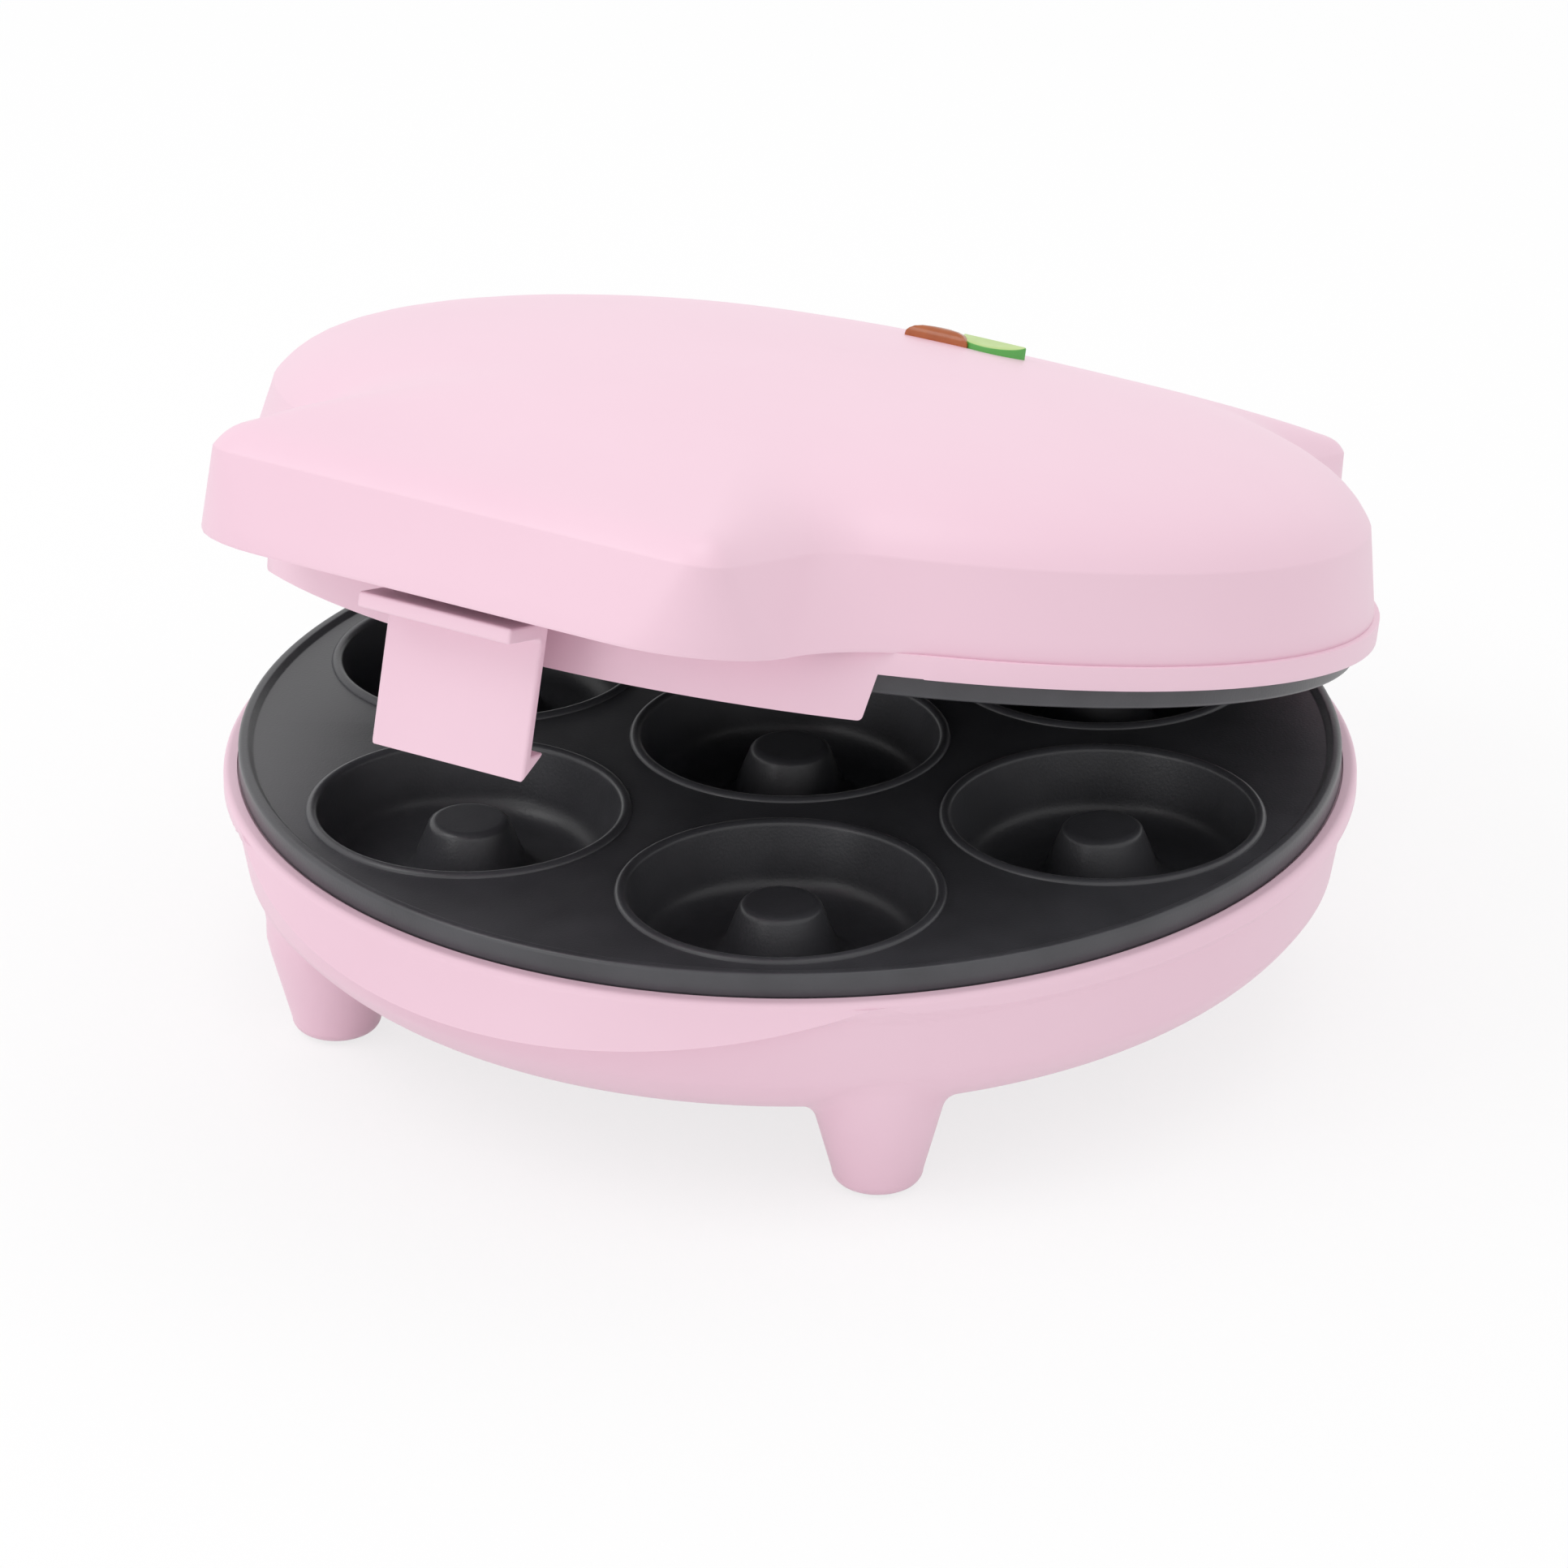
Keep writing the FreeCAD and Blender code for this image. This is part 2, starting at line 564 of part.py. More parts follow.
def lid_ring():
    """Frame of the lid: band round the plate, skirt, floor of the lobes, knuckles and latch ears."""
    floor, upstand_r = lid_floor()
    band = turned((LEDGE_IN, LEDGE_LOW), (RING_IN, LEDGE_LOW), (RING_IN, RING_LOW), (RING_OUT, RING_LOW),
                  (RING_OUT, LID_LOW), (upstand_r, LID_LOW), (upstand_r, FLOOR_HIGH), (LEDGE_IN, FLOOR_HIGH))
    skirt = turned((RING_OUT - SKIRT_THICK, SKIRT_LOW), (RING_OUT, SKIRT_LOW), (RING_OUT, LEDGE_LOW),
                   (RING_OUT - SKIRT_THICK, LEDGE_LOW), angle=2 * SKIRT_HALF)
    skirt.rotate(Vector(), UP, -90 - SKIRT_HALF)
    pieces = [floor, skirt] + [knuckle(KNUCKLE_X), knuckle(-KNUCKLE_X)]
    pieces += [plate_tab(angle) for angle in FIX_ANGLES] + [latch_ear(-1), latch_ear(1)]
    cuts = [rod(PIN_R + RUN, -BAND_R, BAND_R, HINGE_Y, HINGE_Z)]
    cuts += [latch_axle(RUN, 0.0)]
    tab_top = FIX_BOSS + PLATE_GAP + CLAMP
    cuts += [cylinder(FIX_HOLE_R + FIT, 0, tab_top, -x, y) for x, y in FIX_SPOTS]
    cuts += [cylinder(FIX_HOLE_R + FIT, 0, FLOOR_HIGH, x, y) for x, y in LID_SCREWS]
    return band.fuse(pieces).cut(cuts).removeSplitter()


def knuckle(x):
    x0, x1 = x - KNUCKLE_WIDTH / 2, x + KNUCKLE_WIDTH / 2
    arm = slab([(HINGE_Y - KNUCKLE_R, HINGE_Z), (HINGE_Y - KNUCKLE_R, FLOOR_HIGH),
                (HINGE_Y + KNUCKLE_R, FLOOR_HIGH), (HINGE_Y + KNUCKLE_R, HINGE_Z)], x0, x1)
    return arm.fuse(rod(KNUCKLE_R, x0, x1, HINGE_Y, HINGE_Z))


def plate_tab(angle):
    """Tab of the ring that a screw of the upper plate clamps."""
    low = FIX_BOSS + PLATE_GAP
    tab = bar(FIX_R, LEDGE_IN + FIT, -BOSS_R, BOSS_R, low, low + CLAMP)
    tab = tab.fuse(cylinder(BOSS_R, low, low + CLAMP, FIX_R, 0))
    tab.rotate(Vector(), UP, angle)
    return tab


def latch_ear(side):
    near, far = sorted((side * (LATCH_HALF + SLACK), side * (LATCH_HALF + SLACK + LATCH_EAR)))
    y0, y1 = LATCH_Y - LATCH_BARREL_R, LATCH_Y + LATCH_BARREL_R
    return bar(near, far, y0, y1, FLOOR_LOW, LATCH_Z + LATCH_BARREL_R)


def lid_screws():
    return Part.Compound([screw(x, y, FLOOR_LOW, FLOOR_HIGH - FLOOR_LOW) for x, y in LID_SCREWS])


# Latch


def latch():
    back = LATCH_FACE + LATCH_THICK
    leaf = slab([(LATCH_FACE, LATCH_Z), (LATCH_FACE, HOOK_LOW), (HOOK_TIP_Y, HOOK_TIP_Z),
                 (back, HOOK_TIP_Z - FIT), (back, LATCH_Z)], -LATCH_HALF, LATCH_HALF)
    tab = bar(-LATCH_HALF, LATCH_HALF, TAB_FRONT, LATCH_FACE, TAB_LOW, TAB_HIGH)
    tab = rounded(tab, TAB_ROUND, lambda e: e.BoundBox.YMax < TAB_FRONT + FIT)
    body = leaf.fuse([tab, rod(LATCH_BARREL_R, -LATCH_HALF, LATCH_HALF, LATCH_Y, LATCH_Z)])
    return body.cut(latch_axle(RUN, 0.0)).removeSplitter()


def latch_axle(grow, short):
    """Pin of the latch across both its ears, grown for a bore or left short of the ears' ends."""
    half = LATCH_HALF + SLACK + LATCH_EAR - short
    return rod(LATCH_PIN_R + grow, -half, half, LATCH_Y, LATCH_Z)


def latch_pin():
    return latch_axle(0.0, FIT)


# Lights and controls in the lid


def half_moon(side, grow, low, high):
    """Half-moon prism; side -1 is the front left one, whose flat faces the front."""
    x, y = side * LENS_X, LENS_Y - side * LENS_SHIFT / 2
    radius = LENS_R + grow
    ends = [Vector(x - radius, y + side * grow, low), Vector(x + radius, y + side * grow, low)]
    top = Vector(x, y - side * radius, low)
    face = Part.Face(Part.Wire([line(ends[0], ends[1]), arc(ends[1], top, ends[0])]))
    return face.extrude(Vector(0, 0, high - low))


def lens(side):
    high = CROWN_Z + LENS_RISE
    flange_low = HOLDER_Z + HOLDER_THICK + 2 * LAMP_R + FIT
    stem = half_moon(side, 0.0, flange_low, high).common(under_crown(-LENS_RISE))
    flange = half_moon(side, LENS_FLANGE, flange_low, high).common(under_crown(WALL + RUN))
    return stem.fuse(flange).removeSplitter()


def lamp_spots():
    return [(side * LENS_X * LAMP_SPREAD, LENS_Y - side * LENS_SHIFT / 2) for side in (-1, 1)]


def lamp_holder():
    deep = LAMP_LONG / 2 + HOLDER_MARGIN
    reach = PILLAR_X + PILLAR_R
    top = HOLDER_Z + HOLDER_THICK
    board = bar(-reach, reach, LENS_Y - deep, LENS_Y + deep, HOLDER_Z, top)
    pegs = [cylinder(PEG_R, top, top + 2 * PEG_R, s * PILLAR_X, LENS_Y) for s in (-1, 1)]
    return board.fuse(pegs)


def indicator_lamps():
    z = HOLDER_Z + HOLDER_THICK + LAMP_R
    lamps = []
    for x, y in lamp_spots():
        start = Vector(x, y - LAMP_LONG / 2, z)
        lamps.append(Part.makeCylinder(LAMP_R, LAMP_LONG, start, ALONG_Y))
    return Part.Compound(lamps)


WEB_BACK = PLATE_GAP - WEB_LOW


def thermostat():
    """Snap-disc thermostat on the back of the upper plate, with two blade terminals."""
    x, y = polar(PAN_FIX_R, 90)
    top = WEB_BACK + STAT_HEIGHT
    cap = top + STAT_CAP
    body = cylinder(STAT_R, WEB_BACK, top, x, y).fuse(cylinder(STAT_CAP_R, top, cap, x, y))
    y0, y1 = y - BLADE_WIDTH / 2, y + BLADE_WIDTH / 2
    starts = [x + side * BLADE_X - BLADE_THICK / 2 for side in (-1, 1)]
    return body.fuse([bar(x0, x0 + BLADE_THICK, y0, y1, cap, cap + BLADE_WIDTH) for x0 in starts])


def thermal_fuse():
    """Thermal fuse lying on the back of the upper plate, with its two leads."""
    x, y = polar(PAN_FIX_R, 210)
    z = WEB_BACK + FUSE_R
    half = FUSE_LONG / 2
    reach = half + FUSE_LEAD
    return rod(FUSE_R, x - half, x + half, y, z).fuse(rod(FUSE_LEAD_R, x - reach, x + reach, y, z))


# Export: the base stays, the lid and the latch swing open, and everything is stood on the table

BASE_PIECES = {
    "base_shell": base_shell,
    "foot_pads": foot_pads,
    "hinge_pins": hinge_pins,
    "cord_gland": cord_gland,
    "terminal_block": terminal_block,
    "lower_plate": plate,
    "lower_plate_screws": plate_screws,
    "lower_heater": element,
    "lower_reflector": reflector,
    "lower_reflector_screws": reflector_screws,
}
TURNED_PIECES = {
    "upper_plate": plate,
    "upper_plate_screws": plate_screws,
    "upper_heater": element,
    "upper_reflector": reflector,
    "upper_reflector_screws": reflector_screws,
}
LID_PIECES = {
    "lid_shell": lid_shell,
    "lid_ring": lid_ring,
    "lid_screws": lid_screws,
    "thermostat": thermostat,
    "thermal_fuse": thermal_fuse,
    "power_lens": lambda: lens(-1),
    "ready_lens": lambda: lens(1),
    "lamp_holder": lamp_holder,
    "indicator_lamps": indicator_lamps,
    "latch": latch,
    "latch_pin": latch_pin,
}
HINGE = Vector(0, HINGE_Y, HINGE_Z)


def swung_y(y, z):
    """Where a point of the closed lid lies, front to back, once the lid is open."""
    turn = math.radians(LID_OPEN)
    return HINGE_Y + (y - HINGE_Y) * math.cos(turn) + (z - HINGE_Z) * math.sin(turn)


# The open machine is centred on the origin, front to back
AXIS_BACK = -(swung_y(-FRONT_REACH, LID_LOW) + swung_y(REAR_REACH, LID_LOW)) / 2


def export(name, shape, in_lid):
    placed = shape.copy()
    if in_lid:
        placed.rotate(HINGE, ALONG_X, -LID_OPEN)
    placed.translate(Vector(0, AXIS_BACK, FLOOR_DEPTH))
    placed.exportStep(f"parts/{name}.step")


for name, make in BASE_PIECES.items():
    export(name, make(), False)
for name, make in TURNED_PIECES.items():
    export(name, turned_over(make()), True)
for name, make in LID_PIECES.items():
    export(name, make(), True)
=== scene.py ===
import bpy
import json
import math
from mathutils import Matrix, Vector


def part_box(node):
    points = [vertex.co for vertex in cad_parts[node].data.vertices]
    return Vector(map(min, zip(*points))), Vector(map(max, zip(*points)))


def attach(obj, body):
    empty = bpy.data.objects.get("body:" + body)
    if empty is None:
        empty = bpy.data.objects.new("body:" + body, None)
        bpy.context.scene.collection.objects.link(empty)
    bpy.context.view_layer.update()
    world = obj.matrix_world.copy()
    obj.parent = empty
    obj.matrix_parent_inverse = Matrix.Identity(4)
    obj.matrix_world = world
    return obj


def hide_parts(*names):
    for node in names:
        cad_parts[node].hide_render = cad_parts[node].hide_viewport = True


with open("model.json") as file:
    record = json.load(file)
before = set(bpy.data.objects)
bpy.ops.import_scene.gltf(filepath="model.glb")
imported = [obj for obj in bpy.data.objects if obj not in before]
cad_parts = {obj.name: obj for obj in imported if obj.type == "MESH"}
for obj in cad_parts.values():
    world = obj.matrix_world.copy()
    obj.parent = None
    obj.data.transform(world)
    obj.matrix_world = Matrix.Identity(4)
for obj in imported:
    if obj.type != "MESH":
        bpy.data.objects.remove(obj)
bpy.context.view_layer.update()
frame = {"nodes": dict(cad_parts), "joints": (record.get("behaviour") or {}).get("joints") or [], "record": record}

# Lengths are in mm and angles in degrees, unless a heading says otherwise
MM = 0.001

# The frame that the pieces are drawn in: lid shut, plate axis at 0, 0 and lower rim at z = 0
LID_OPEN = 15.2
plate_low, plate_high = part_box("lower_plate")
BASE_PLACE = Matrix.Translation((0.0, (plate_low.y + plate_high.y) / 2, plate_high.z))
HINGE = Matrix.Translation(frame["joints"][0]["pos_m"])
LID_TURN = Matrix.Rotation(math.radians(-LID_OPEN), 4, "X")
LID_PLACE = HINGE @ LID_TURN @ HINGE.inverted() @ BASE_PLACE

# Baking plates: rim and web
PLATE_R = 100.0
PLATE_EDGE = 5.0
PLATE_GAP = 0.4
PLATE_STEPS = 180
PLATE_CREASE = 35.0
RIM = 2.0
RIM_ROUND = 0.8
RIM_EASE = 0.5
RIM_DRAFT = 0.9
WEB_TOP = -1.0
WEB_LOW = -4.0

# Ring cavities: bead round the edge, trough, middle post and closed bowl underneath
RINGS = 6
RING_PITCH = 65.2
RING_R = 27.0
BEAD_OUT = 29.2
BEAD_HIGH = -0.15
BEAD_ROUND = 1.1
BEAD_LAP = 0.2
BEAD_FOOT = 0.1
TROUGH_LOW = -14.0
TROUGH_ROUND = 5.4
TROUGH_IN = 14.9
TROUGH_OUT = 19.8
POST_TOP = -3.0
POST_FLAT = 5.6
POST_EDGE = 5.9
POST_ROUND = 1.6
BOWL_LOW = -16.5
BOWL_OUT = 29.5
BOWL_NARROW = 2.0
CAVITY_CUT = 20.0
CAVITY_STEPS = 96
CAVITY_CREASE = 50.0

# Base: floor, turn, wall and band, as radius and height where two values are given
BASE_LOW = -32.0
BASE_TOP = -4.5
BASE_STEPS = 240
BASE_CREASE = 32.0
FLAT_R = 86.8
FLOOR_RADII = (0.0, 30.0, 60.0)
TURN_MIDDLE = (93.6, -28.1)
TURN_STEPS = 12
WALL_FOOT = (98.9, -22.0)
WALL_HEAD = (101.1, -9.5)
WALL_LOW = -20.5
WALL = 2.5
BAND_R = 102.8
BAND_LOW = -7.6
BAND_ROUND = 1.2
BAND_TOP = BASE_TOP - BAND_ROUND
SEAT_R = 100.3
SEAT = -5.3

# Lip round the front: its ridge is lowest in the middle and runs out at both ends
LIP_REACH = 107.5
LIP_MIDDLE = -14.9
LIP_END = -4.8
LIP_HALF = 41.0
LIP_UNDER = 1.3
LIP_FADE = 10.0
RIDGE_BELOW_BAND = 0.4
TOUCH = 0.001
# Heights that rows of points follow, and the rows between each and the next
ROW_HEIGHTS = (WALL_LOW, LIP_MIDDLE, WALL_HEAD[1], BAND_LOW, BAND_TOP)
ROW_COUNTS = (16, 14, 6, 6)

# Feet
FOOT_R = 85.7
FOOT_TURN = 48.3
FOOT_END = -47.6
FOOT_TIP_R = 8.1
FOOT_ROUND = 2.6
FOOT_FLARE = 0.27
FOOT_MOST_R = 12.3
FOOT_BLEND = 2.2
FOOT_SIDES = 72
FOOT_CREASE = 60.0
CONE_ROWS = 6
BLEND_ROWS = 10
# The bowl is felt for along each side of a foot, from this far out, in these steps
FEEL_FROM = 4.0
FEEL_STEP = 0.2
FEEL_COUNT = 80

# Hinge ears and the hole for the cord gland
EAR_LOW_X = (24.2, 40.3)
EAR_WIDTH = 5.5
EAR_ROOT = 97.0
EAR_LAP = 1.0
EAR_EASE = 0.5
EAR_CUT = 40.0
KNUCKLE_R = 6.0
HINGE_AT = (108.0, -5.0)
PIN_BORE = 2.05
GLAND_HOLE = 5.6
GLAND_Z = -20.5
GLAND_CUT = 15.0

# Lid: outline and walls
SIDE_R = 102.5
FRONT_REACH = 128.0
REAR_REACH = 121.0
LOBE_HALF = 57.0
REAR_NARROW = 3.0
NOTCH_FULL = 0.9
LID_LOW = 8.5
LID_WALL = 2.5
LID_CREASE = 40.0
EDGE_ROUND = 0.2
EDGE_SHARE = 0.04
CREASE = 24.0
# Outline at the lower edge and at the crease: drawn in, lobes narrower, corner and notch radius
LOWER_OUTLINE = (0.0, 0.0, 22.0, 40.0)
CREASE_OUTLINE = (2.9, 5.2, 7.0, 15.0)

# Lid: shoulder that rolls up from the crease, by a rise and a spread, and the crown
ROLL_SHORT = (4.4, 3.8)
ROLL_LONG = (14.7, 30.0)
ROLL_EDGE = 5.8
CROWN = 42.9
CROWN_Y = -7.2
CROWN_FALL_X = 6000.0
CROWN_FALL_Y = 900.0
CROWN_BLEND = 0.9
# Loops of the lid: shares of the wall, distances in from the crease, sizes of the last of these
WALL_SHARES = (0.0, 0.01, EDGE_SHARE, 0.25, 0.5, 0.75, 0.92, 0.985)
ROLL_INSIDES = (0.0, 0.2, 0.5, 0.9, 1.4, 2.0, 2.8, 4.0, ROLL_EDGE)
CROWN_SIZES = (0.97, 0.93, 0.88, 0.82, 0.75, 0.66, 0.56, 0.45, 0.33, 0.2, 0.08)

# Frame under the lid, and the block that shapes each end of its skirt
SKIRT_HALF = 37.0
SKIRT_LOW = -3.8
SKIRT_HEAD = 4.5
SKIRT_LEAN = 1.5
SKIRT_ROUND = 1.0
BLOCK_WIDE = 8.0
BLOCK_UNDER = 3.0
BLOCK_REACH = (90.0, 115.0)
FRAME_FLAT = 0.3
FRAME_EASE = 0.4
FRAME_EASE_FROM = 50.0
FRAME_CREASE = 35.0

# Latch, in the plane across its pin
LATCH_HALF = 15.4
LATCH_PIN = (-113.0, 12.0)
LATCH_BARREL = 3.2
LATCH_BARREL_TURN = (-99.0, 219.0)
LATCH_BORE = 1.55
LATCH_CUT = 60.0
LATCH_FACE = -115.5
LATCH_BACK = -113.5
LATCH_HEAD = 10.0
LATCH_EASE = 0.55
LATCH_CREASE = 35.0
HOOK_LOW = -21.5
HOOK_TIP = (-109.3, -16.8)
HOOK_DRAFT = 0.3
TAB_FRONT = -125.8
TAB_LOW = 3.6
TAB_HIGH = 6.4
TAB_FILLET = 1.2

# Indicator lenses: place, depth as a share of a half circle, and where the loops draw in to
LENS_R = 6.6
LENS_FOOT = 34.0
LENS_CREASE = 50.0
AMBER_AT = (-4.2, 44.2)
AMBER_DEPTH = 1.0
AMBER_MIDDLE = 0.34
GREEN_AT = (5.9, 48.4)
GREEN_DEPTH = 0.66
GREEN_MIDDLE = 0.5
GREEN_TILT = 0.3
# Size of each loop of a lens and its rise above the lid
AMBER_LOOPS = ((1.0, 0.1), (0.98, 0.7), (0.9, 1.3), (0.76, 1.85), (0.55, 2.2), (0.3, 2.35))
GREEN_LOOPS = ((1.0, 1.9), (0.985, 2.1), (0.95, 2.2), (0.5, 2.2))

# Small steps of the modelling
MERGE = 0.004
BORE_SIDES = 48

# Finishes: pale and deep colour, both linear, size of the colour patches, grain, height of the grain,
# roughness and its spread
GRAIN_DETAIL = 2.0
PATCH_DETAIL = 4.0
PATCH_RANGE = (0.30, 0.70)
# Upward part of the normal over which the painted lit top gives way to the side colour
PAINTED_LIGHT_SLOPES = (0.55, 0.85)
FINISHES = {
    "shell": dict(name="pink_moulding", pale=(0.860, 0.602, 0.706), deep=(0.842, 0.578, 0.684),
                  patch=60.0, grain=0.5, height=0.004, rough=0.40, spread=0.03),
    "nonstick": dict(name="plate_coating", pale=(0.068, 0.068, 0.076), deep=(0.052, 0.052, 0.058),
                     patch=12.0, grain=0.5, height=0.03, rough=0.33, spread=0.06),
    "steel": dict(name="bright_steel", pale=(0.55, 0.55, 0.56), deep=(0.38, 0.38, 0.39),
                  patch=3.0, grain=0.3, height=0.005, rough=0.32, spread=0.08, Metallic=1.0),
    "element": dict(name="heater_sheath", pale=(0.16, 0.15, 0.14), deep=(0.09, 0.085, 0.08),
                    patch=6.0, grain=0.4, height=0.02, rough=0.55, spread=0.08),
    "pan": dict(name="pressed_pan", pale=(0.72, 0.72, 0.73), deep=(0.55, 0.55, 0.57),
                patch=15.0, grain=0.3, height=0.006, rough=0.38, spread=0.08, Metallic=1.0),
    "amber": dict(name="amber_lens", pale=(0.46, 0.13, 0.035), deep=(0.30, 0.07, 0.02),
                  patch=8.0, grain=0.4, height=0.004, rough=0.22, spread=0.04),
    # Green lens: pale and deep paint its top lighter, as if lit from above; side is the deeper green of its sides
    "green": dict(name="green_lens", pale=(0.55, 0.70, 0.30), deep=(0.42, 0.58, 0.20),
                  side=(0.10, 0.42, 0.08),
                  patch=8.0, grain=0.4, height=0.004, rough=0.30, spread=0.04),
    "lamp": dict(name="neon_lamp", pale=(0.70, 0.62, 0.50), deep=(0.52, 0.42, 0.30),
                 patch=3.0, grain=0.4, height=0.004, rough=0.15, spread=0.04),
    "board": dict(name="lamp_board", pale=(0.10, 0.25, 0.12), deep=(0.07, 0.18, 0.09),
                  patch=6.0, grain=0.4, height=0.01, rough=0.45, spread=0.06),
    "phenolic": dict(name="phenolic_body", pale=(0.16, 0.085, 0.045), deep=(0.10, 0.05, 0.03),
                     patch=4.0, grain=0.4, height=0.01, rough=0.42, spread=0.06),
    "block": dict(name="terminal_nylon", pale=(0.75, 0.74, 0.70), deep=(0.62, 0.61, 0.57),
                  patch=8.0, grain=0.4, height=0.01, rough=0.45, spread=0.06),
    "gland": dict(name="gland_rubber", pale=(0.045, 0.045, 0.048), deep=(0.025, 0.025, 0.027),
                  patch=6.0, grain=0.4, height=0.02, rough=0.6, spread=0.06),
    "pad": dict(name="foot_rubber", pale=(0.045, 0.045, 0.048), deep=(0.025, 0.025, 0.027),
                patch=6.0, grain=0.4, height=0.02, rough=0.7, spread=0.06),
}

# Where the photograph was taken from: distances in metres, shift in widths of the picture
CAMERA_TURN = 31.44
CAMERA_LIFT = 24.75
CAMERA_FAR = 1.6
CAMERA_LENS = 202.5
CAMERA_SENSOR = 36.0
CAMERA_SHIFT = (-0.0039, -0.0346)
CAMERA_CLIP = 20.0

# Floor, surround and lights, in metres and watts
FLOOR_SIZE = 12.0
FLOOR_Z = -0.0002
FLOOR_COLOUR = (0.92, 0.92, 0.92, 1.0)
FLOOR_ROUGH = 0.9
FLOOR_GLOW_SHARE = 0.75
WHITE = (1.0, 1.0, 1.0, 1.0)
SKY_LIGHT = 0.82
SKY_SEEN = 1.0
# Name, place, aim, size and power of each soft light
LIGHTS = (
    ("key_box", (-0.75, -0.95, 1.45), (0, 0, 0.06), 1.0, 5.2),
    ("top_box", (0.1, 0.2, 1.6), (0, 0, 0.06), 1.2, 4.5),
    ("low_box", (-0.35, -1.45, 0.3), (0, 0, 0.02), 0.7, 1.5),
)


# Modelling steps


def select(*pieces):
    """Selects these pieces alone, the first one active."""
    bpy.ops.object.select_all(action="DESELECT")
    for piece in pieces:
        piece.select_set(True)
    bpy.context.view_layer.objects.active = pieces[0]


def edit(piece):
    """Opens a piece in edit mode, all of it selected."""
    select(piece)
    bpy.ops.object.mode_set(mode="EDIT")
    bpy.ops.mesh.select_all(action="SELECT")


def close_edit():
    """Merges doubled points, turns the faces outward and leaves edit mode."""
    bpy.ops.mesh.select_all(action="SELECT")
    bpy.ops.mesh.remove_doubles(threshold=MERGE * MM)
    bpy.ops.mesh.normals_make_consistent(inside=False)
    bpy.ops.object.mode_set(mode="OBJECT")


def modify(piece, kind, **settings):
    """Adds a modifier with its settings and applies it."""
    select(piece)
    change = piece.modifiers.new(kind.lower(), kind)
    for name, value in settings.items():
        setattr(change, name, value)
    bpy.ops.object.modifier_apply(modifier=change.name)


def smooth(piece, degrees):
    """Shades a piece smooth, with creases where faces meet at more than an angle."""
    select(piece)
    bpy.ops.object.shade_smooth_by_angle(angle=math.radians(degrees))


def joined(*pieces):
    """Joins the pieces into the first one."""
    select(*pieces)
    bpy.ops.object.join()
    return pieces[0]


def wire(name, loops, closed):
    """Points joined along each loop."""
    points, edges = [], []
    for loop in loops:
        first, count = len(points), len(loop)
        points += [Vector(p) * MM for p in loop]
        edges += [(first + i, first + i + 1) for i in range(count - 1)]
        if closed:
            edges.append((first + count - 1, first))
    mesh = bpy.data.meshes.new(name)
    mesh.from_pydata(points, edges, [])
    piece = bpy.data.objects.new(name, mesh)
    bpy.context.collection.objects.link(piece)
    return piece


def spun(name, section, steps):
    """A section of radius and height spun round the upright axis."""
    piece = wire(name, [[(r, 0, z) for r, z in section]], False)
    edit(piece)
    bpy.ops.mesh.spin(steps=steps, angle=math.tau, center=(0, 0, 0), axis=(0, 0, 1))
    close_edit()
    return piece


def bridged(name, loops, caps=(True, True)):
    """A skin bridged through closed loops of one count, with a cap on its first and last loop."""
    piece = wire(name, loops, True)
    edit(piece)
    bpy.ops.mesh.bridge_edge_loops()
    count = len(loops[0])
    for first, wanted in zip((0, len(loops) * count - count), caps):
        if wanted:
            bpy.ops.mesh.select_all(action="DESELECT")
            bpy.ops.object.mode_set(mode="OBJECT")
            for point in piece.data.vertices[first:first + count]:
                point.select = True
            bpy.ops.object.mode_set(mode="EDIT")
            bpy.ops.mesh.edge_face_add()
    close_edit()
    return piece


def prism(name, outline, x0, x1):
    """An outline of y and z drawn out along x."""
    return bridged(name, [[(x, y, z) for y, z in outline] for x in (x0, x1)])


def cutter(radius, x, y, z, length, axis):
    """Round bar to cut a bore with, its middle at a place."""
    turns = {"X": (0, math.pi / 2, 0), "Y": (math.pi / 2, 0, 0), "Z": (0, 0, 0)}
    bpy.ops.mesh.primitive_cylinder_add(vertices=BORE_SIDES, radius=radius * MM, depth=length * MM,
                                        location=(x * MM, y * MM, z * MM), rotation=turns[axis])
    return bpy.context.object


def cut(piece, *tools):
    """Takes the tools out of a piece."""
    tool = joined(*tools)
    modify(piece, "BOOLEAN", object=tool, operation="DIFFERENCE", solver="EXACT")
    bpy.data.objects.remove(tool)


def bent(centre, radius, first, last, steps):
    """Points round a centre, between two angles."""
    turns = [math.radians(first + (last - first) * i / steps) for i in range(steps + 1)]
    return [(centre[0] + radius * math.cos(t), centre[1] + radius * math.sin(t)) for t in turns]


def through(a, b, steps):
    """Even steps from one point to another, without the last point."""
    return [(a[0] + (b[0] - a[0]) * i / steps, a[1] + (b[1] - a[1]) * i / steps) for i in range(steps)]


def finish_piece(piece, place, body, slot, made, *nodes):
    """Puts a drawn piece in its place, dresses it and lets it stand for its solids."""
    piece.data.transform(place)
    piece.data.materials.clear()
    piece.data.materials.append(made[slot])
    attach(piece, body)
    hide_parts(*nodes)


# Baking plates


def cavity():
    """Ring cavity with a raised bead, a rounded trough and a middle post, closed underneath."""
    trough = TROUGH_LOW + TROUGH_ROUND
    section = [(0, POST_TOP), (POST_FLAT, POST_TOP)]
    section += bent((POST_EDGE, POST_TOP - POST_ROUND), POST_ROUND, 90, 12, 5)
    section += bent((TROUGH_IN, trough), TROUGH_ROUND, 190, 270, 8)
    section += bent((TROUGH_OUT, trough), TROUGH_ROUND, 270, 352, 8)
    section += bent((BEAD_OUT - BEAD_ROUND, BEAD_HIGH - BEAD_ROUND), BEAD_ROUND, 180, 0, 8)
    section += [(BOWL_OUT, WEB_TOP - BEAD_FOOT), (BOWL_OUT, WEB_LOW)]
    section += [(RING_R - BOWL_NARROW, BOWL_LOW), (0, BOWL_LOW)]
    return spun("cavity", section, CAVITY_STEPS)


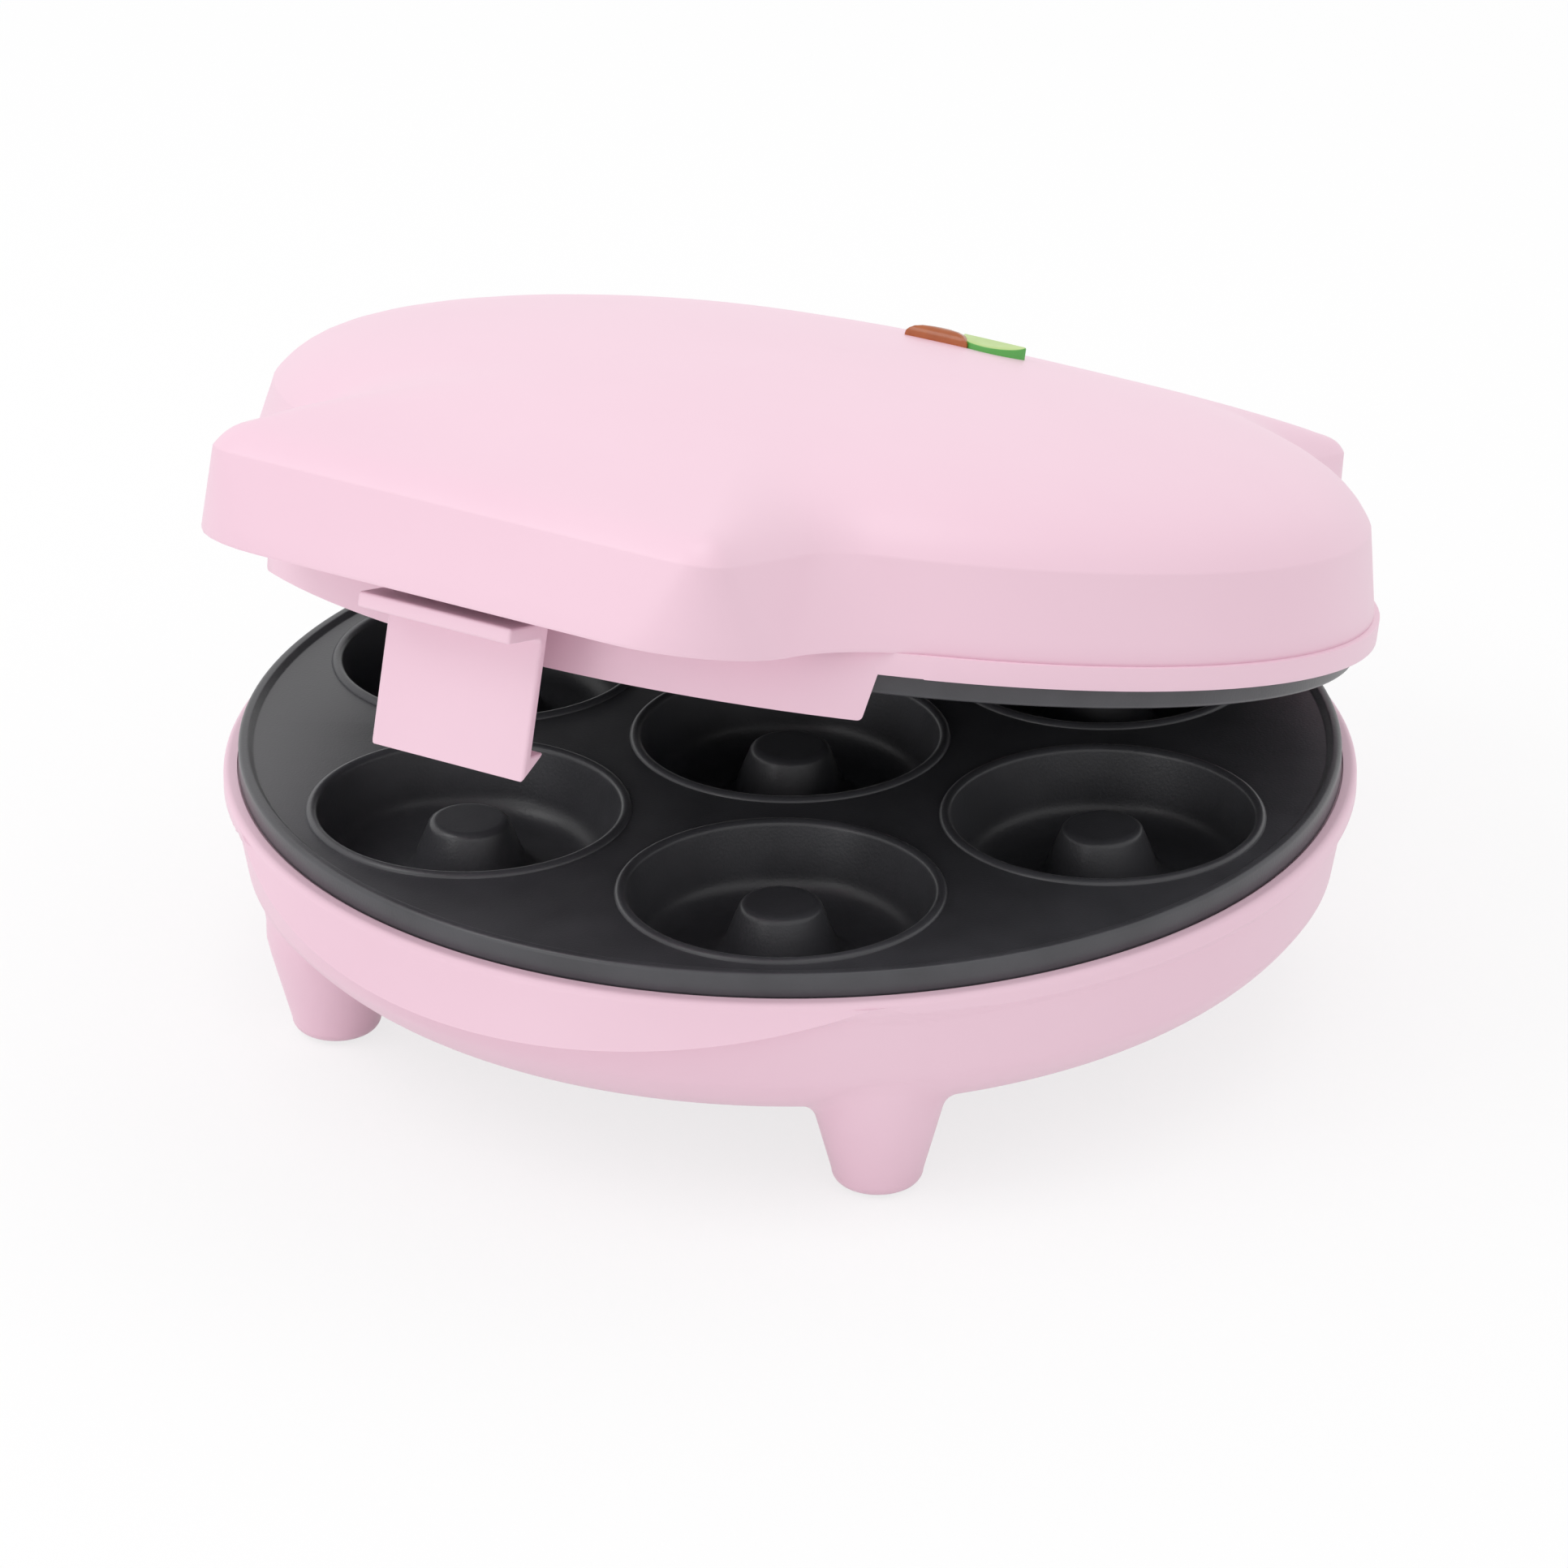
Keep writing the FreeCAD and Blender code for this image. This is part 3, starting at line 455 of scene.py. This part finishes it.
def plate_web(name):
    """Rim and flat web of a plate, turned in one."""
    inner = PLATE_R - RIM
    section = [(0, WEB_LOW), (inner, WEB_LOW), (inner, -PLATE_EDGE), (PLATE_R - RIM_EASE, -PLATE_EDGE)]
    section += bent((PLATE_R - RIM_ROUND, RIM_ROUND - PLATE_EDGE), RIM_ROUND, -60, 0, 4)
    section += bent((PLATE_R - RIM_ROUND, -RIM_ROUND), RIM_ROUND, 0, 90, 5)
    section += bent((inner + RIM_EASE, -RIM_EASE), RIM_EASE, 90, 150, 4)
    section += bent((inner - RIM_DRAFT, WEB_TOP + RIM_EASE), RIM_EASE, -30, -90, 4)
    section += [(0, WEB_TOP)]
    return spun(name, section, PLATE_STEPS)


def baking_plate(name):
    """Cast plate: a rim round a flat web with seven ring cavities."""
    plate = plate_web(name)
    spots = [(0.0, 0.0)] + bent((0, 0), RING_PITCH, 0, 300, RINGS - 1)
    cut(plate, *[cutter(BEAD_OUT - BEAD_LAP, x, y, 0, CAVITY_CUT, "Z") for x, y in spots])
    smooth(plate, PLATE_CREASE)
    ring = cavity()
    smooth(ring, CAVITY_CREASE)
    rings = [ring] + [ring.copy() for _ in spots[1:]]
    for piece, (x, y) in zip(rings, spots):
        piece.data = ring.data.copy()
        piece.data.transform(Matrix.Translation((x * MM, y * MM, 0)))
        if piece is not ring:
            bpy.context.collection.objects.link(piece)
    return joined(plate, *rings)


# Base


def turn_points():
    """Points of the turn from the flat underside up to the wall, an arc through three points."""
    (ax, ay), (bx, by), (cx, cy) = (FLAT_R, BASE_LOW), TURN_MIDDLE, WALL_FOOT
    d = 2 * (ax * (by - cy) + bx * (cy - ay) + cx * (ay - by))
    a, b, c = ax * ax + ay * ay, bx * bx + by * by, cx * cx + cy * cy
    centre = ((a * (by - cy) + b * (cy - ay) + c * (ay - by)) / d,
              (a * (cx - bx) + b * (ax - cx) + c * (bx - ax)) / d)
    first = math.degrees(math.atan2(ay - centre[1], ax - centre[0]))
    last = math.degrees(math.atan2(cy - centre[1], cx - centre[0]))
    return bent(centre, math.hypot(ax - centre[0], ay - centre[1]), first, last, TURN_STEPS)


def between(value, rows, key, answer):
    """Reads a rising list of points, one of its columns against the other."""
    rows = sorted(rows, key=lambda row: row[key])
    if value <= rows[0][key]:
        return rows[0][answer]
    for low, high in zip(rows, rows[1:]):
        if value <= high[key]:
            share = (value - low[key]) / (high[key] - low[key])
            return low[answer] + share * (high[answer] - low[answer])
    return rows[-1][answer]


def plain_reach(z):
    """Radius of the wall and the band at a height, without the lip."""
    return between(z, [WALL_FOOT, WALL_HEAD, (BAND_R, BAND_LOW), (BAND_R, BASE_TOP)], 1, 0)


def ridge_height(turn):
    """The ridge of the lip is low at the front and rises to both ends."""
    return LIP_MIDDLE + (LIP_END - LIP_MIDDLE) * min((turn / LIP_HALF) ** 2, 1)


def lip_reach(z, turn):
    """How far the front stands out: a slope down to the ridge, and back under it."""
    plain, ridge = plain_reach(z), ridge_height(turn)
    end = (turn / LIP_HALF) ** 2
    if end >= 1 or z < ridge - LIP_UNDER:
        return plain
    edge = BAND_R + (LIP_REACH - BAND_R) * (1 - end)
    if z > ridge - TOUCH:
        return max(plain, BAND_R + (edge - BAND_R) * (BAND_TOP - z) / (BAND_TOP - ridge))
    share = (z - ridge + LIP_UNDER) / LIP_UNDER
    return plain + max(edge - plain, 0) * math.sin(share * math.pi / 2)


def row_height(z, turn):
    """Slides the rows of points along the wall, so that one of them follows the ridge."""
    row = min(ridge_height(turn), BAND_TOP - RIDGE_BELOW_BAND)
    row += (LIP_MIDDLE - row) * min(max(abs(turn) - LIP_HALF, 0) / LIP_FADE, 1)
    fixed = WALL_LOW if z < LIP_MIDDLE else BAND_TOP
    return fixed + (z - fixed) * (row - fixed) / (LIP_MIDDLE - fixed)


def raise_lip(piece):
    """Pushes the outside of the bowl out to the lip at the front."""
    for point in piece.data.vertices:
        x, y, z = point.co / MM
        plain = math.hypot(x, y)
        if plain > WALL_FOOT[0] and WALL_LOW < z < BAND_TOP:
            turn = math.degrees(math.atan2(x, -y))
            z = row_height(z, turn)
            wide = lip_reach(z, turn) / plain
            point.co = (point.co.x * wide, point.co.y * wide, z * MM)


def bowl():
    """The round body of the base: outside with its lip, band, seat of the plate and inside."""
    inner_head = (WALL_HEAD[0] - WALL, WALL_HEAD[1])
    inner_foot = (WALL_FOOT[0] - WALL, WALL_FOOT[1])
    section = [(r, BASE_LOW) for r in FLOOR_RADII] + turn_points()
    for low, high, count in zip(ROW_HEIGHTS, ROW_HEIGHTS[1:], ROW_COUNTS):
        section += [(plain_reach(z), z) for z, _ in through((low, 0), (high, 0), count)]
    section += bent((BAND_R - BAND_ROUND, BAND_TOP), BAND_ROUND, 0, 90, 5)
    section += [(SEAT_R, BASE_TOP), (SEAT_R, SEAT), (inner_head[0], SEAT), inner_head, inner_foot]
    section += [(FLAT_R - WALL, BASE_LOW + WALL), (0, BASE_LOW + WALL)]
    piece = spun("base_housing", section, BASE_STEPS)
    raise_lip(piece)
    return piece


def leg_radius(z):
    """Radius of a foot's cone at a height."""
    return min(FOOT_TIP_R + FOOT_FLARE * (z - FOOT_END - FOOT_ROUND), FOOT_MOST_R)


def foot_side(axis, way):
    """Side of a foot in one direction, from its round end to where it has run into the bowl."""
    outside = turn_points() + [WALL_HEAD]
    outs = [FEEL_FROM + FEEL_STEP * i for i in range(FEEL_COUNT)]
    highs = [between((axis + way * out).length, outside, 0, 1) for out in outs]
    ground = [Vector(spot) for spot in zip(outs, highs)]
    meet = next(i for i in range(FEEL_COUNT) if outs[i] >= leg_radius(highs[i]))
    end = meet
    while end + 1 < FEEL_COUNT and (ground[end] - ground[meet]).length < FOOT_BLEND:
        end += 1
    corner, last = ground[meet], ground[end]
    start, low = FOOT_END + FOOT_ROUND, corner.y - FOOT_BLEND
    first = Vector((leg_radius(low), low))
    rows = []
    for i in range(CONE_ROWS):
        z = start + (low - start) * i / CONE_ROWS
        rows.append((leg_radius(z), z))
    for i in range(BLEND_ROWS + 1):
        t = i / BLEND_ROWS
        spot = first * (1 - t) ** 2 + corner * (2 * t * (1 - t)) + last * t ** 2
        rows.append((spot.x, spot.y))
    return rows


def foot(turn):
    """A foot that runs softly into the bowl."""
    around = math.radians(turn)
    axis = Vector((FOOT_R * math.cos(around), FOOT_R * math.sin(around)))
    end = bent((FOOT_TIP_R - FOOT_ROUND, FOOT_END + FOOT_ROUND), FOOT_ROUND, -90, -12, 6)
    turns = [math.tau * i / FOOT_SIDES for i in range(FOOT_SIDES)]
    ways = [Vector((math.cos(a), math.sin(a))) for a in turns]
    sides = [end + foot_side(axis, way) for way in ways]
    loops = [[(*(axis + way * side[row][0]), side[row][1]) for way, side in zip(ways, sides)]
             for row in range(len(sides[0]))]
    return bridged("foot", loops, (True, False))


def hinge_ear(x0):
    """Ear on the rear of the base, bored for a hinge pin."""
    y, z = HINGE_AT
    outline = [(EAR_ROOT, z - KNUCKLE_R)] + bent(HINGE_AT, KNUCKLE_R, -90, 90, 16)
    outline += [(SEAT_R + EAR_LAP, z + KNUCKLE_R), (SEAT_R + EAR_LAP, SEAT), (EAR_ROOT, SEAT)]
    ear = prism("hinge_ear", outline, x0, x0 + EAR_WIDTH)
    cut(ear, cutter(PIN_BORE, x0, y, z, EAR_CUT, "X"))
    modify(ear, "BEVEL", width=EAR_EASE * MM, segments=2, limit_method="ANGLE")
    return ear


def base_housing():
    """The base in one moulding: bowl, four feet and four hinge ears."""
    body = bowl()
    cut(body, cutter(GLAND_HOLE, 0, WALL_FOOT[0], GLAND_Z, GLAND_CUT, "Y"))
    smooth(body, BASE_CREASE)
    feet = [foot(side + turn) for side in (0, 180) for turn in (-FOOT_TURN, FOOT_TURN)]
    for piece in feet:
        smooth(piece, FOOT_CREASE)
    ears = [hinge_ear(x) for x in EAR_LOW_X] + [hinge_ear(-x - EAR_WIDTH) for x in EAR_LOW_X]
    for piece in ears:
        smooth(piece, BASE_CREASE)
    return joined(body, *feet, *ears)


# Lid


def half_lobe(side_r, half, reach, corner, notch):
    """Half a lobe on a circle, from its middle line to the end of its notch."""
    most = ((reach - corner) ** 2 + half ** 2 - side_r ** 2) / (2 * (side_r - half))
    notch = min(notch, NOTCH_FULL * most)
    deep = math.sqrt((side_r + notch) ** 2 - (half + notch) ** 2)
    turn = math.degrees(math.atan2(deep, half + notch))
    points = through((0, reach), (half - corner, reach), 8)
    points += bent((half - corner, reach - corner), corner, 90, 0, 8)
    points += through((half, reach - corner), (half, deep), 5)[1:]
    points += bent((half + notch, deep), notch, 180, 180 + turn, 12)
    return points, turn


def outline(inset, narrower, corner, notch):
    """Outline of the lid: a circle with a front and a rear lobe."""
    side_r, half = SIDE_R - inset, LOBE_HALF - narrower
    front, front_turn = half_lobe(side_r, half, FRONT_REACH - inset, corner, notch)
    rear, rear_turn = half_lobe(side_r, half - REAR_NARROW, REAR_REACH - inset, corner, notch)
    right = [(x, -y) for x, y in front]
    right += bent((0, 0), side_r, -front_turn, rear_turn, 36)[1:-1] + rear[::-1]
    return right + [(-x, y) for x, y in right[-2:0:-1]]


def away(point, loop):
    """Distance from a point to a closed loop."""
    spot = Vector(point)
    gaps = []
    for a, b in zip(loop, loop[1:] + loop[:1]):
        a, b = Vector(a), Vector(b)
        share = min(max((spot - a).dot(b - a) / (b - a).length_squared, 0), 1)
        gaps.append((spot - a - (b - a) * share).length)
    return min(gaps)


def roof(x, y, inside):
    """Height of the lid's top: it rolls up from the crease and runs into the crown."""
    roll = CREASE
    for rise, spread in (ROLL_SHORT, ROLL_LONG):
        roll += rise * (1 - math.exp(-inside / spread))
    crown = CROWN - x * x / CROWN_FALL_X - (y - CROWN_Y) ** 2 / CROWN_FALL_Y
    return min(roll, crown) - CROWN_BLEND * math.log(1 + math.exp(-abs(roll - crown) / CROWN_BLEND))


def lid_loops():
    """Loops from the lower edge up the wall, over the shoulder and in to the top of the crown."""
    loops = []
    for share in WALL_SHARES:
        step = [low + share * (high - low) for low, high in zip(LOWER_OUTLINE, CREASE_OUTLINE)]
        step[0] += EDGE_ROUND * (1 - min(share / EDGE_SHARE, 1)) ** 2
        height = LID_LOW + share * (CREASE - LID_LOW)
        loops.append([(x, y, height) for x, y in outline(*step)])
    inset, narrower, corner, notch = CREASE_OUTLINE
    for inside in ROLL_INSIDES:
        edge = outline(inset + inside, narrower + inside, corner - inside, notch + inside)
        loops.append([(x, y, roof(x, y, inside)) for x, y in edge])
    for size in CROWN_SIZES:
        scaled = [(size * x, CROWN_Y + size * (y - CROWN_Y)) for x, y in edge]
        loops.append([(x, y, roof(x, y, ROLL_EDGE + away((x, y), edge))) for x, y in scaled])
    return loops


def lid_housing():
    """The shell of the lid, open underneath."""
    piece = bridged("lid_housing", lid_loops(), (False, True))
    modify(piece, "SOLIDIFY", thickness=LID_WALL * MM, offset=-1.0, use_even_offset=True)
    smooth(piece, LID_CREASE)
    return piece


def skirt_end(side):
    """Block that takes a leaning end with a round lower corner off the skirt."""
    low, inner = SKIRT_LOW - BLOCK_UNDER, -SKIRT_LEAN - SKIRT_ROUND
    profile = [(0, SKIRT_HEAD)]
    profile += bent((inner, SKIRT_LOW + SKIRT_ROUND), SKIRT_ROUND, -8, -90, 6)
    profile += [(inner, low), (BLOCK_WIDE, low), (BLOCK_WIDE, SKIRT_HEAD)]
    block = prism("skirt_end", [(side * y, z) for y, z in profile], *BLOCK_REACH)
    turn = Matrix.Rotation(math.radians(side * SKIRT_HALF - 90.0), 4, "Z")
    block.data.transform(LID_PLACE @ turn)
    return block


def lid_frame():
    """The moulded frame under the lid, with leaning ends to its skirt and its sharp edges eased."""
    piece = bpy.data.objects.new("lid_frame", frame["nodes"]["lid_ring"].data.copy())
    bpy.context.collection.objects.link(piece)
    edit(piece)
    bpy.ops.mesh.remove_doubles(threshold=MERGE * MM)
    bpy.ops.mesh.dissolve_limited(angle_limit=math.radians(FRAME_FLAT))
    close_edit()
    cut(piece, skirt_end(1), skirt_end(-1))
    modify(piece, "BEVEL", width=FRAME_EASE * MM, segments=2, limit_method="ANGLE",
           angle_limit=math.radians(FRAME_EASE_FROM))
    smooth(piece, FRAME_CREASE)
    return piece


# Latch and lenses


def latch():
    """Leaf with a finger tab, a hook at its foot and a bored barrel at its head."""
    leaf = [(LATCH_FACE, LATCH_HEAD), (LATCH_FACE, TAB_HIGH), (TAB_FRONT, TAB_HIGH), (TAB_FRONT, TAB_LOW)]
    leaf += bent((LATCH_FACE - TAB_FILLET, TAB_LOW - TAB_FILLET), TAB_FILLET, 90, 0, 4)
    leaf += [(LATCH_FACE, HOOK_LOW), HOOK_TIP, (LATCH_BACK, HOOK_TIP[1] - HOOK_DRAFT)]
    leaf += bent(LATCH_PIN, LATCH_BARREL, *LATCH_BARREL_TURN, 28)[:-1]
    piece = prism("latch_hook", leaf, -LATCH_HALF, LATCH_HALF)
    cut(piece, cutter(LATCH_BORE, 0, *LATCH_PIN, LATCH_CUT, "X"))
    modify(piece, "BEVEL", width=LATCH_EASE * MM, segments=3, limit_method="ANGLE",
           angle_limit=math.radians(LATCH_CREASE))
    smooth(piece, LATCH_CREASE)
    return piece


def lens(name, at, way, depth, middle, steps, tilt=0.0):
    """Half-moon lens; its round side lies to the rear for way 1 and to the front for way -1."""
    edge = [(x, way * depth * y) for x, y in bent((0, 0), LENS_R, 0, 180, 28)]
    edge += through((-LENS_R, 0), (LENS_R, 0), 12)[1:]
    inner = way * depth * LENS_R * middle
    loops = [[(at[0] + x, at[1] + y, LENS_FOOT) for x, y in edge]]
    for size, rise in steps:
        spots = [(at[0] + size * x, at[1] + inner + size * (y - inner)) for x, y in edge]
        loops.append([(x, y, roof(x, y, PLATE_R) + rise + tilt * (y - at[1])) for x, y in spots])
    piece = bridged(name, loops)
    smooth(piece, LENS_CREASE)
    return piece


# Finishes


def socket(node, name, value):
    node.inputs[name].default_value = value


def patches(nodes, links, cloud, pale, deep):
    """Colour that runs from deep to pale with a noise."""
    tint = nodes.new("ShaderNodeValToRGB")
    for stop, position, colour in zip(tint.color_ramp.elements, PATCH_RANGE, (deep, pale)):
        stop.position = position
        stop.color = (*colour, 1.0)
    links.new(cloud.outputs["Fac"], tint.inputs["Fac"])
    return tint.outputs["Color"]


def painted_lit_top(nodes, links, place, top, side):
    """Painted light: the top colour where the surface looks up, as if lit from above, the side colour on its
    sides.
    """
    slope = nodes.new("ShaderNodeSeparateXYZ")
    links.new(place.outputs["Normal"], slope.inputs["Vector"])
    level = nodes.new("ShaderNodeMapRange")
    socket(level, "From Min", PAINTED_LIGHT_SLOPES[0])
    socket(level, "From Max", PAINTED_LIGHT_SLOPES[1])
    links.new(slope.outputs["Z"], level.inputs["Value"])
    painted_light_mix = nodes.new("ShaderNodeMixRGB")
    socket(painted_light_mix, "Color1", (*side, 1.0))
    links.new(level.outputs["Result"], painted_light_mix.inputs["Fac"])
    links.new(top, painted_light_mix.inputs["Color2"])
    return painted_light_mix.outputs["Color"]


def mottled(name, pale, deep, patch, grain, height, rough, spread, side=None, **shader):
    """A finish with soft colour patches, a fine grain and gloss that varies a little, and with a side colour a
    painted lit top.
    """
    finish = bpy.data.materials.new(name)
    finish.use_nodes = True
    nodes, links = finish.node_tree.nodes, finish.node_tree.links
    skin = nodes["Principled BSDF"]
    place = nodes.new("ShaderNodeTexCoord")

    cloud = nodes.new("ShaderNodeTexNoise")
    socket(cloud, "Scale", 1.0 / (patch * MM))
    socket(cloud, "Detail", PATCH_DETAIL)
    links.new(place.outputs["Object"], cloud.inputs["Vector"])
    colour = patches(nodes, links, cloud, pale, deep)
    # Painted light: a top paler than the sides, as if lit from above
    if side:
        colour = painted_lit_top(nodes, links, place, colour, side)
    links.new(colour, skin.inputs["Base Color"])

    gloss = nodes.new("ShaderNodeMapRange")
    socket(gloss, "To Min", rough - spread)
    socket(gloss, "To Max", rough + spread)
    links.new(cloud.outputs["Fac"], gloss.inputs["Value"])
    links.new(gloss.outputs["Result"], skin.inputs["Roughness"])

    speck = nodes.new("ShaderNodeTexNoise")
    socket(speck, "Scale", 1.0 / (grain * MM))
    socket(speck, "Detail", GRAIN_DETAIL)
    links.new(place.outputs["Object"], speck.inputs["Vector"])
    bump = nodes.new("ShaderNodeBump")
    socket(bump, "Strength", 1.0)
    socket(bump, "Distance", height * MM)
    links.new(speck.outputs["Fac"], bump.inputs["Height"])
    links.new(bump.outputs["Normal"], skin.inputs["Normal"])

    for key, value in shader.items():
        socket(skin, key, value)
    return finish


def dress_nodes(made):
    """Puts the record's finish on every carried-over solid."""
    for row in frame["record"]["subparts"]:
        solid = frame["nodes"][row["node"]]
        solid.data.materials.clear()
        solid.data.materials.append(made[row["material_slot"]])


# Camera, light and surround


def photo_camera():
    """The camera at the photograph's angle and distance."""
    turn, lift = math.radians(CAMERA_TURN), math.radians(CAMERA_LIFT)
    back = Vector((math.sin(turn) * math.cos(lift), -math.cos(turn) * math.cos(lift), math.sin(lift)))
    bpy.ops.object.camera_add(location=BASE_PLACE.translation + back * CAMERA_FAR)
    camera = bpy.context.object
    camera.rotation_euler = (-back).to_track_quat("-Z", "Y").to_euler()
    camera.data.lens = CAMERA_LENS
    camera.data.sensor_width = CAMERA_SENSOR
    camera.data.shift_x, camera.data.shift_y = CAMERA_SHIFT
    camera.data.clip_end = CAMERA_CLIP
    bpy.context.scene.camera = camera


def soft_box(name, place, aim, size, power):
    """A round soft light turned to what it lights."""
    bpy.ops.object.light_add(type="AREA", location=place)
    lamp = bpy.context.object
    lamp.name = name
    lamp.data.shape = "DISK"
    lamp.data.size = size
    lamp.data.energy = power
    lamp.rotation_euler = (Vector(aim) - Vector(place)).to_track_quat("-Z", "Y").to_euler()


def where_seen(nodes, links):
    """1 for what the camera, a mirror or a glass sees directly, else 0."""
    path = nodes.new("ShaderNodeLightPath")
    total = path.outputs["Is Camera Ray"]
    for ray in ("Is Glossy Ray", "Is Transmission Ray"):
        larger = nodes.new("ShaderNodeMath")
        larger.operation = "MAXIMUM"
        links.new(total, larger.inputs[0])
        links.new(path.outputs[ray], larger.inputs[1])
        total = larger.outputs["Value"]
    return total


def pale_floor():
    """Floor that looks nearly white and keeps the shadow."""
    bpy.ops.mesh.primitive_plane_add(size=FLOOR_SIZE, location=(0, 0, FLOOR_Z))
    floor = bpy.context.object
    floor.name = "studio_floor"
    paper = bpy.data.materials.new("studio_paper")
    paper.use_nodes = True
    nodes, links = paper.node_tree.nodes, paper.node_tree.links
    skin = nodes["Principled BSDF"]
    socket(skin, "Base Color", FLOOR_COLOUR)
    socket(skin, "Roughness", FLOOR_ROUGH)
    glow = nodes.new("ShaderNodeEmission")
    socket(glow, "Strength", 1.0)
    mix = nodes.new("ShaderNodeMixShader")
    share = nodes.new("ShaderNodeMath")
    share.operation = "MULTIPLY"
    share.inputs[1].default_value = FLOOR_GLOW_SHARE
    links.new(where_seen(nodes, links), share.inputs[0])
    links.new(share.outputs["Value"], mix.inputs["Fac"])
    links.new(skin.outputs["BSDF"], mix.inputs[1])
    links.new(glow.outputs["Emission"], mix.inputs[2])
    links.new(mix.outputs["Shader"], nodes["Material Output"].inputs["Surface"])
    floor.data.materials.append(paper)


def white_surround():
    """Surround that looks white and lights the machine from all round."""
    world = bpy.data.worlds.new("studio")
    bpy.context.scene.world = world
    world.use_nodes = True
    nodes, links = world.node_tree.nodes, world.node_tree.links
    sky = nodes["Background"]
    socket(sky, "Color", WHITE)
    level = nodes.new("ShaderNodeMapRange")
    socket(level, "To Min", SKY_LIGHT)
    socket(level, "To Max", SKY_SEEN)
    links.new(where_seen(nodes, links), level.inputs["Value"])
    links.new(level.outputs["Result"], sky.inputs["Strength"])


# The machine


def machine(made):
    """The pieces that stand for the solids seen from outside."""
    finish_piece(base_housing(), BASE_PLACE, "base", "shell", made, "base_shell")
    lower = baking_plate("lower_baking_plate")
    finish_piece(lower, BASE_PLACE, "base", "nonstick", made, "lower_plate")
    over = Matrix.Translation((0, 0, PLATE_GAP * MM)) @ Matrix.Rotation(math.pi, 4, "Y")
    upper = baking_plate("upper_baking_plate")
    finish_piece(upper, LID_PLACE @ over, "lid", "nonstick", made, "upper_plate")
    finish_piece(lid_housing(), LID_PLACE, "lid", "shell", made, "lid_shell")
    finish_piece(lid_frame(), Matrix.Identity(4), "lid", "shell", made, "lid_ring")
    finish_piece(latch(), LID_PLACE, "latch", "shell", made, "latch")
    amber = lens("amber_half_moon", AMBER_AT, 1, AMBER_DEPTH, AMBER_MIDDLE, AMBER_LOOPS)
    finish_piece(amber, LID_PLACE, "lid", "amber", made, "power_lens")
    green = lens("green_half_moon", GREEN_AT, -1, GREEN_DEPTH, GREEN_MIDDLE, GREEN_LOOPS, GREEN_TILT)
    finish_piece(green, LID_PLACE, "lid", "green", made, "ready_lens")


finish_set = {slot: mottled(**look) for slot, look in FINISHES.items()}
dress_nodes(finish_set)
machine(finish_set)
photo_camera()
pale_floor()
white_surround()
for light in LIGHTS:
    soft_box(*light)
bpy.context.scene.view_settings.view_transform = "Standard"
